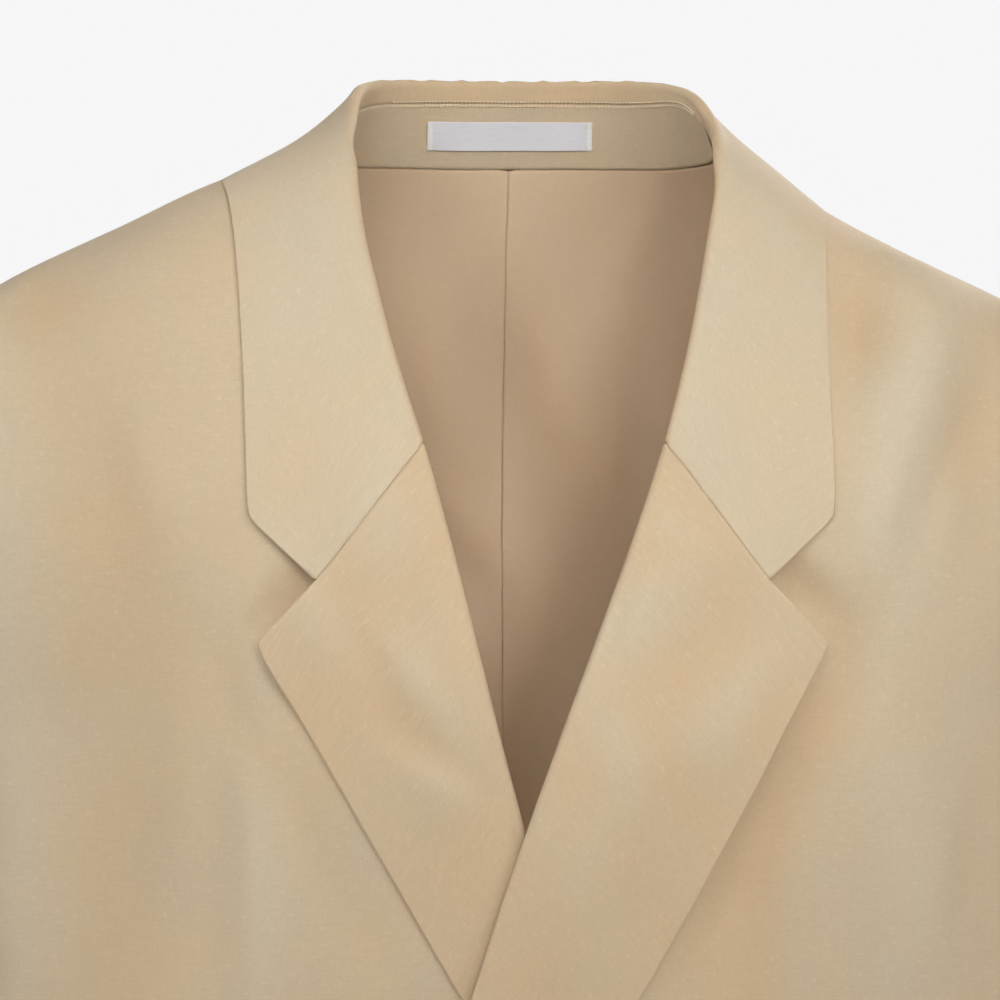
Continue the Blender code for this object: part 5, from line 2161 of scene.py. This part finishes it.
LAMPS = (
    Lamp("right", (1.4, -1.95, 0.7), (0.0, -0.1, -0.2), 0.7, 11.0),
    Lamp("left", (-1.35, -1.95, 1.0), (0.0, -0.1, -0.2), 0.7, 6.4),
    Lamp("neck_right", (0.5, -2.3, 0.75), (-0.01, -0.05, -0.13), 0.5, 0.31, spread=20.0),
    Lamp("neck_left", (-0.5, -2.3, 0.75), (0.01, -0.05, -0.13), 0.5, 0.165, spread=20.0),
    Lamp("crest", (0.2, -0.8, 1.9), (0.0, -0.05, -0.15), 0.8, 7.4),
    Lamp("low", (-0.6, -2.2, -0.9), (0.0, -0.1, -0.3), 0.8, 4.6),
    Lamp("far_left", (-2.0, -0.35, 0.5), (0.0, -0.1, -0.3), 1.0, 8.6),
    Lamp("far_right", (2.0, -0.3, 0.5), (0.0, -0.1, -0.3), 1.0, 5.6),
    Lamp("back", (1.2, 2.2, 1.0), (0.0, 0.0, -0.3), 0.8, 34.0),
)


@dataclass(frozen=True)
class Studio:
    """Camera, soft lights and a pale floor."""

    yaw: float = 4.25
    distance: float = 2.3
    look_at: Triple = (-0.0172, -0.115, -0.1486)
    lens: float = 206.9
    sensor: float = 36.0
    floor_z: float = -1.45
    floor_reach: float = 6.0
    floor_tone: Colour = (0.80, 0.80, 0.80)
    floor_glow: float = 0.45
    floor_roughness: float = 0.9
    glow_tone: Colour = (1.0, 0.99, 0.97)
    sky: float = 0.17
    sky_tone: Colour = (1.0, 0.90, 0.79)
    backdrop: Colour = (0.922, 0.922, 0.922)

    def camera(self) -> None:
        """A level camera, turned a little to the wearer's left."""
        data = bpy.data.cameras.new("camera")
        data.lens = self.lens
        data.sensor_width = self.sensor
        made = linked("camera", data)
        ahead = Vector((sin(radians(self.yaw)), cos(radians(self.yaw)), 0.0))
        made.location = Vector(self.look_at) - ahead * self.distance
        made.rotation_euler = ahead.to_track_quat("-Z", "Y").to_euler()
        bpy.context.scene.camera = made

    def lamps(self) -> None:
        """The soft lights."""
        for lamp in LAMPS:
            data = bpy.data.lights.new(lamp.name, "AREA")
            data.energy, data.size, data.spread = lamp.power, lamp.size, radians(lamp.spread)
            made = linked(lamp.name, data)
            made.location = lamp.place
            ahead = Vector(lamp.aim) - Vector(lamp.place)
            made.rotation_euler = ahead.to_track_quat("-Z", "Y").to_euler()

    def sky_light(self) -> None:
        """A faint warm light from all round, behind a plain pale backdrop."""
        world = bpy.data.worlds.new("studio")
        bpy.context.scene.world = world
        world.use_nodes = True
        graph = Graph(world.node_tree)
        shown = world.node_tree.nodes["Background"]
        graph.feed(shown, {"Color": rgba(self.backdrop)})
        lit = graph.node("ShaderNodeBackground",
                         {"Color": rgba(self.sky_tone), "Strength": self.sky})
        seen = graph.node("ShaderNodeLightPath").outputs["Is Camera Ray"]
        both = graph.node("ShaderNodeMixShader", {0: seen, 1: lit.outputs[0], 2: shown.outputs[0]})
        graph.feed(world.node_tree.nodes["World Output"], {0: both.outputs[0]})

    def floor(self) -> None:
        """A plain pale floor, a little brighter to the camera than its light makes it."""
        mesh = bpy.data.meshes.new("floor")
        reach = self.floor_reach
        corners = [(-reach, -reach), (reach, -reach), (reach, reach), (-reach, reach)]
        mesh.from_pydata([(x, y, self.floor_z) for x, y in corners], [], [(0, 1, 2, 3)])
        made = linked("floor", mesh)
        pale, graph, shader = shaded("floor")
        seen = graph.node("ShaderNodeLightPath").outputs["Is Camera Ray"]
        graph.feed(shader, {
            "Base Color": rgba(self.floor_tone),
            "Roughness": self.floor_roughness,
            "Emission Color": rgba(self.glow_tone),
            "Emission Strength": graph.math("MULTIPLY", seen, self.floor_glow),
        })
        made.data.materials.append(pale)

    def build(self) -> None:
        """Makes the lights, the sky and the floor."""
        bpy.context.scene.view_settings.view_transform = "Standard"
        self.sky_light()
        self.lamps()
        self.floor()


# ------ the blazer
def finishes() -> dict[str, bpy.types.Material]:
    """All materials, by the name of their slot or use."""
    made = (
        Woven(LINEN, (0.775, 0.640, 0.455), (0.647, 0.517, 0.355)),
        Woven(LINING, (1.0, 0.805, 0.578), (0.93, 0.700, 0.475), mottle=1.1, sheen=0.25,
              roughness=0.62, relief=0.00006),
        Satin(SATIN, (0.80, 0.80, 0.85), (0.90, 0.90, 0.91)),
        Horn(HORN, (0.46, 0.33, 0.20), (0.20, 0.13, 0.075)),
        Thread(THREAD, (0.90, 0.80, 0.62), (0.74, 0.62, 0.44)),
    )
    return {finish.name: finish.material() for finish in made}


def main() -> None:
    """Builds the whole scene in order."""
    logging.basicConfig(level=logging.INFO, format="%(name)s: %(message)s")
    studio = Studio()
    studio.camera()
    dresser = Dresser(finishes())
    body = Body(dresser)
    neckline = Neckline(dresser)
    for side in (1, -1):
        for make in (body.front, body.side, body.back, body.lining, neckline.lapel):
            make(side)
        Sleeve(dresser, side).build()
    neckline.collar()
    neckline.stand()
    neckline.label()
    maker = StitchMaker(dresser)
    stitching = Stitching(maker, neckline)
    stitching.band_rows()
    stitching.label_corners()
    button = Button(dresser)
    mesh = button.drilled()
    threads = []
    for row, z in BUTTON_ROWS.items():
        for side in (1, -1):
            button.build(f"button_{row}_{word(side)}", side * BUTTON_X, z, mesh)
            threads += button.thread_paths(side * BUTTON_X, z)
    maker.rows("button_threads", threads, BUTTON_STITCH, THREAD, HORN)
    studio.build()
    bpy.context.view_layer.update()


if __name__ == "__main__":
    main()
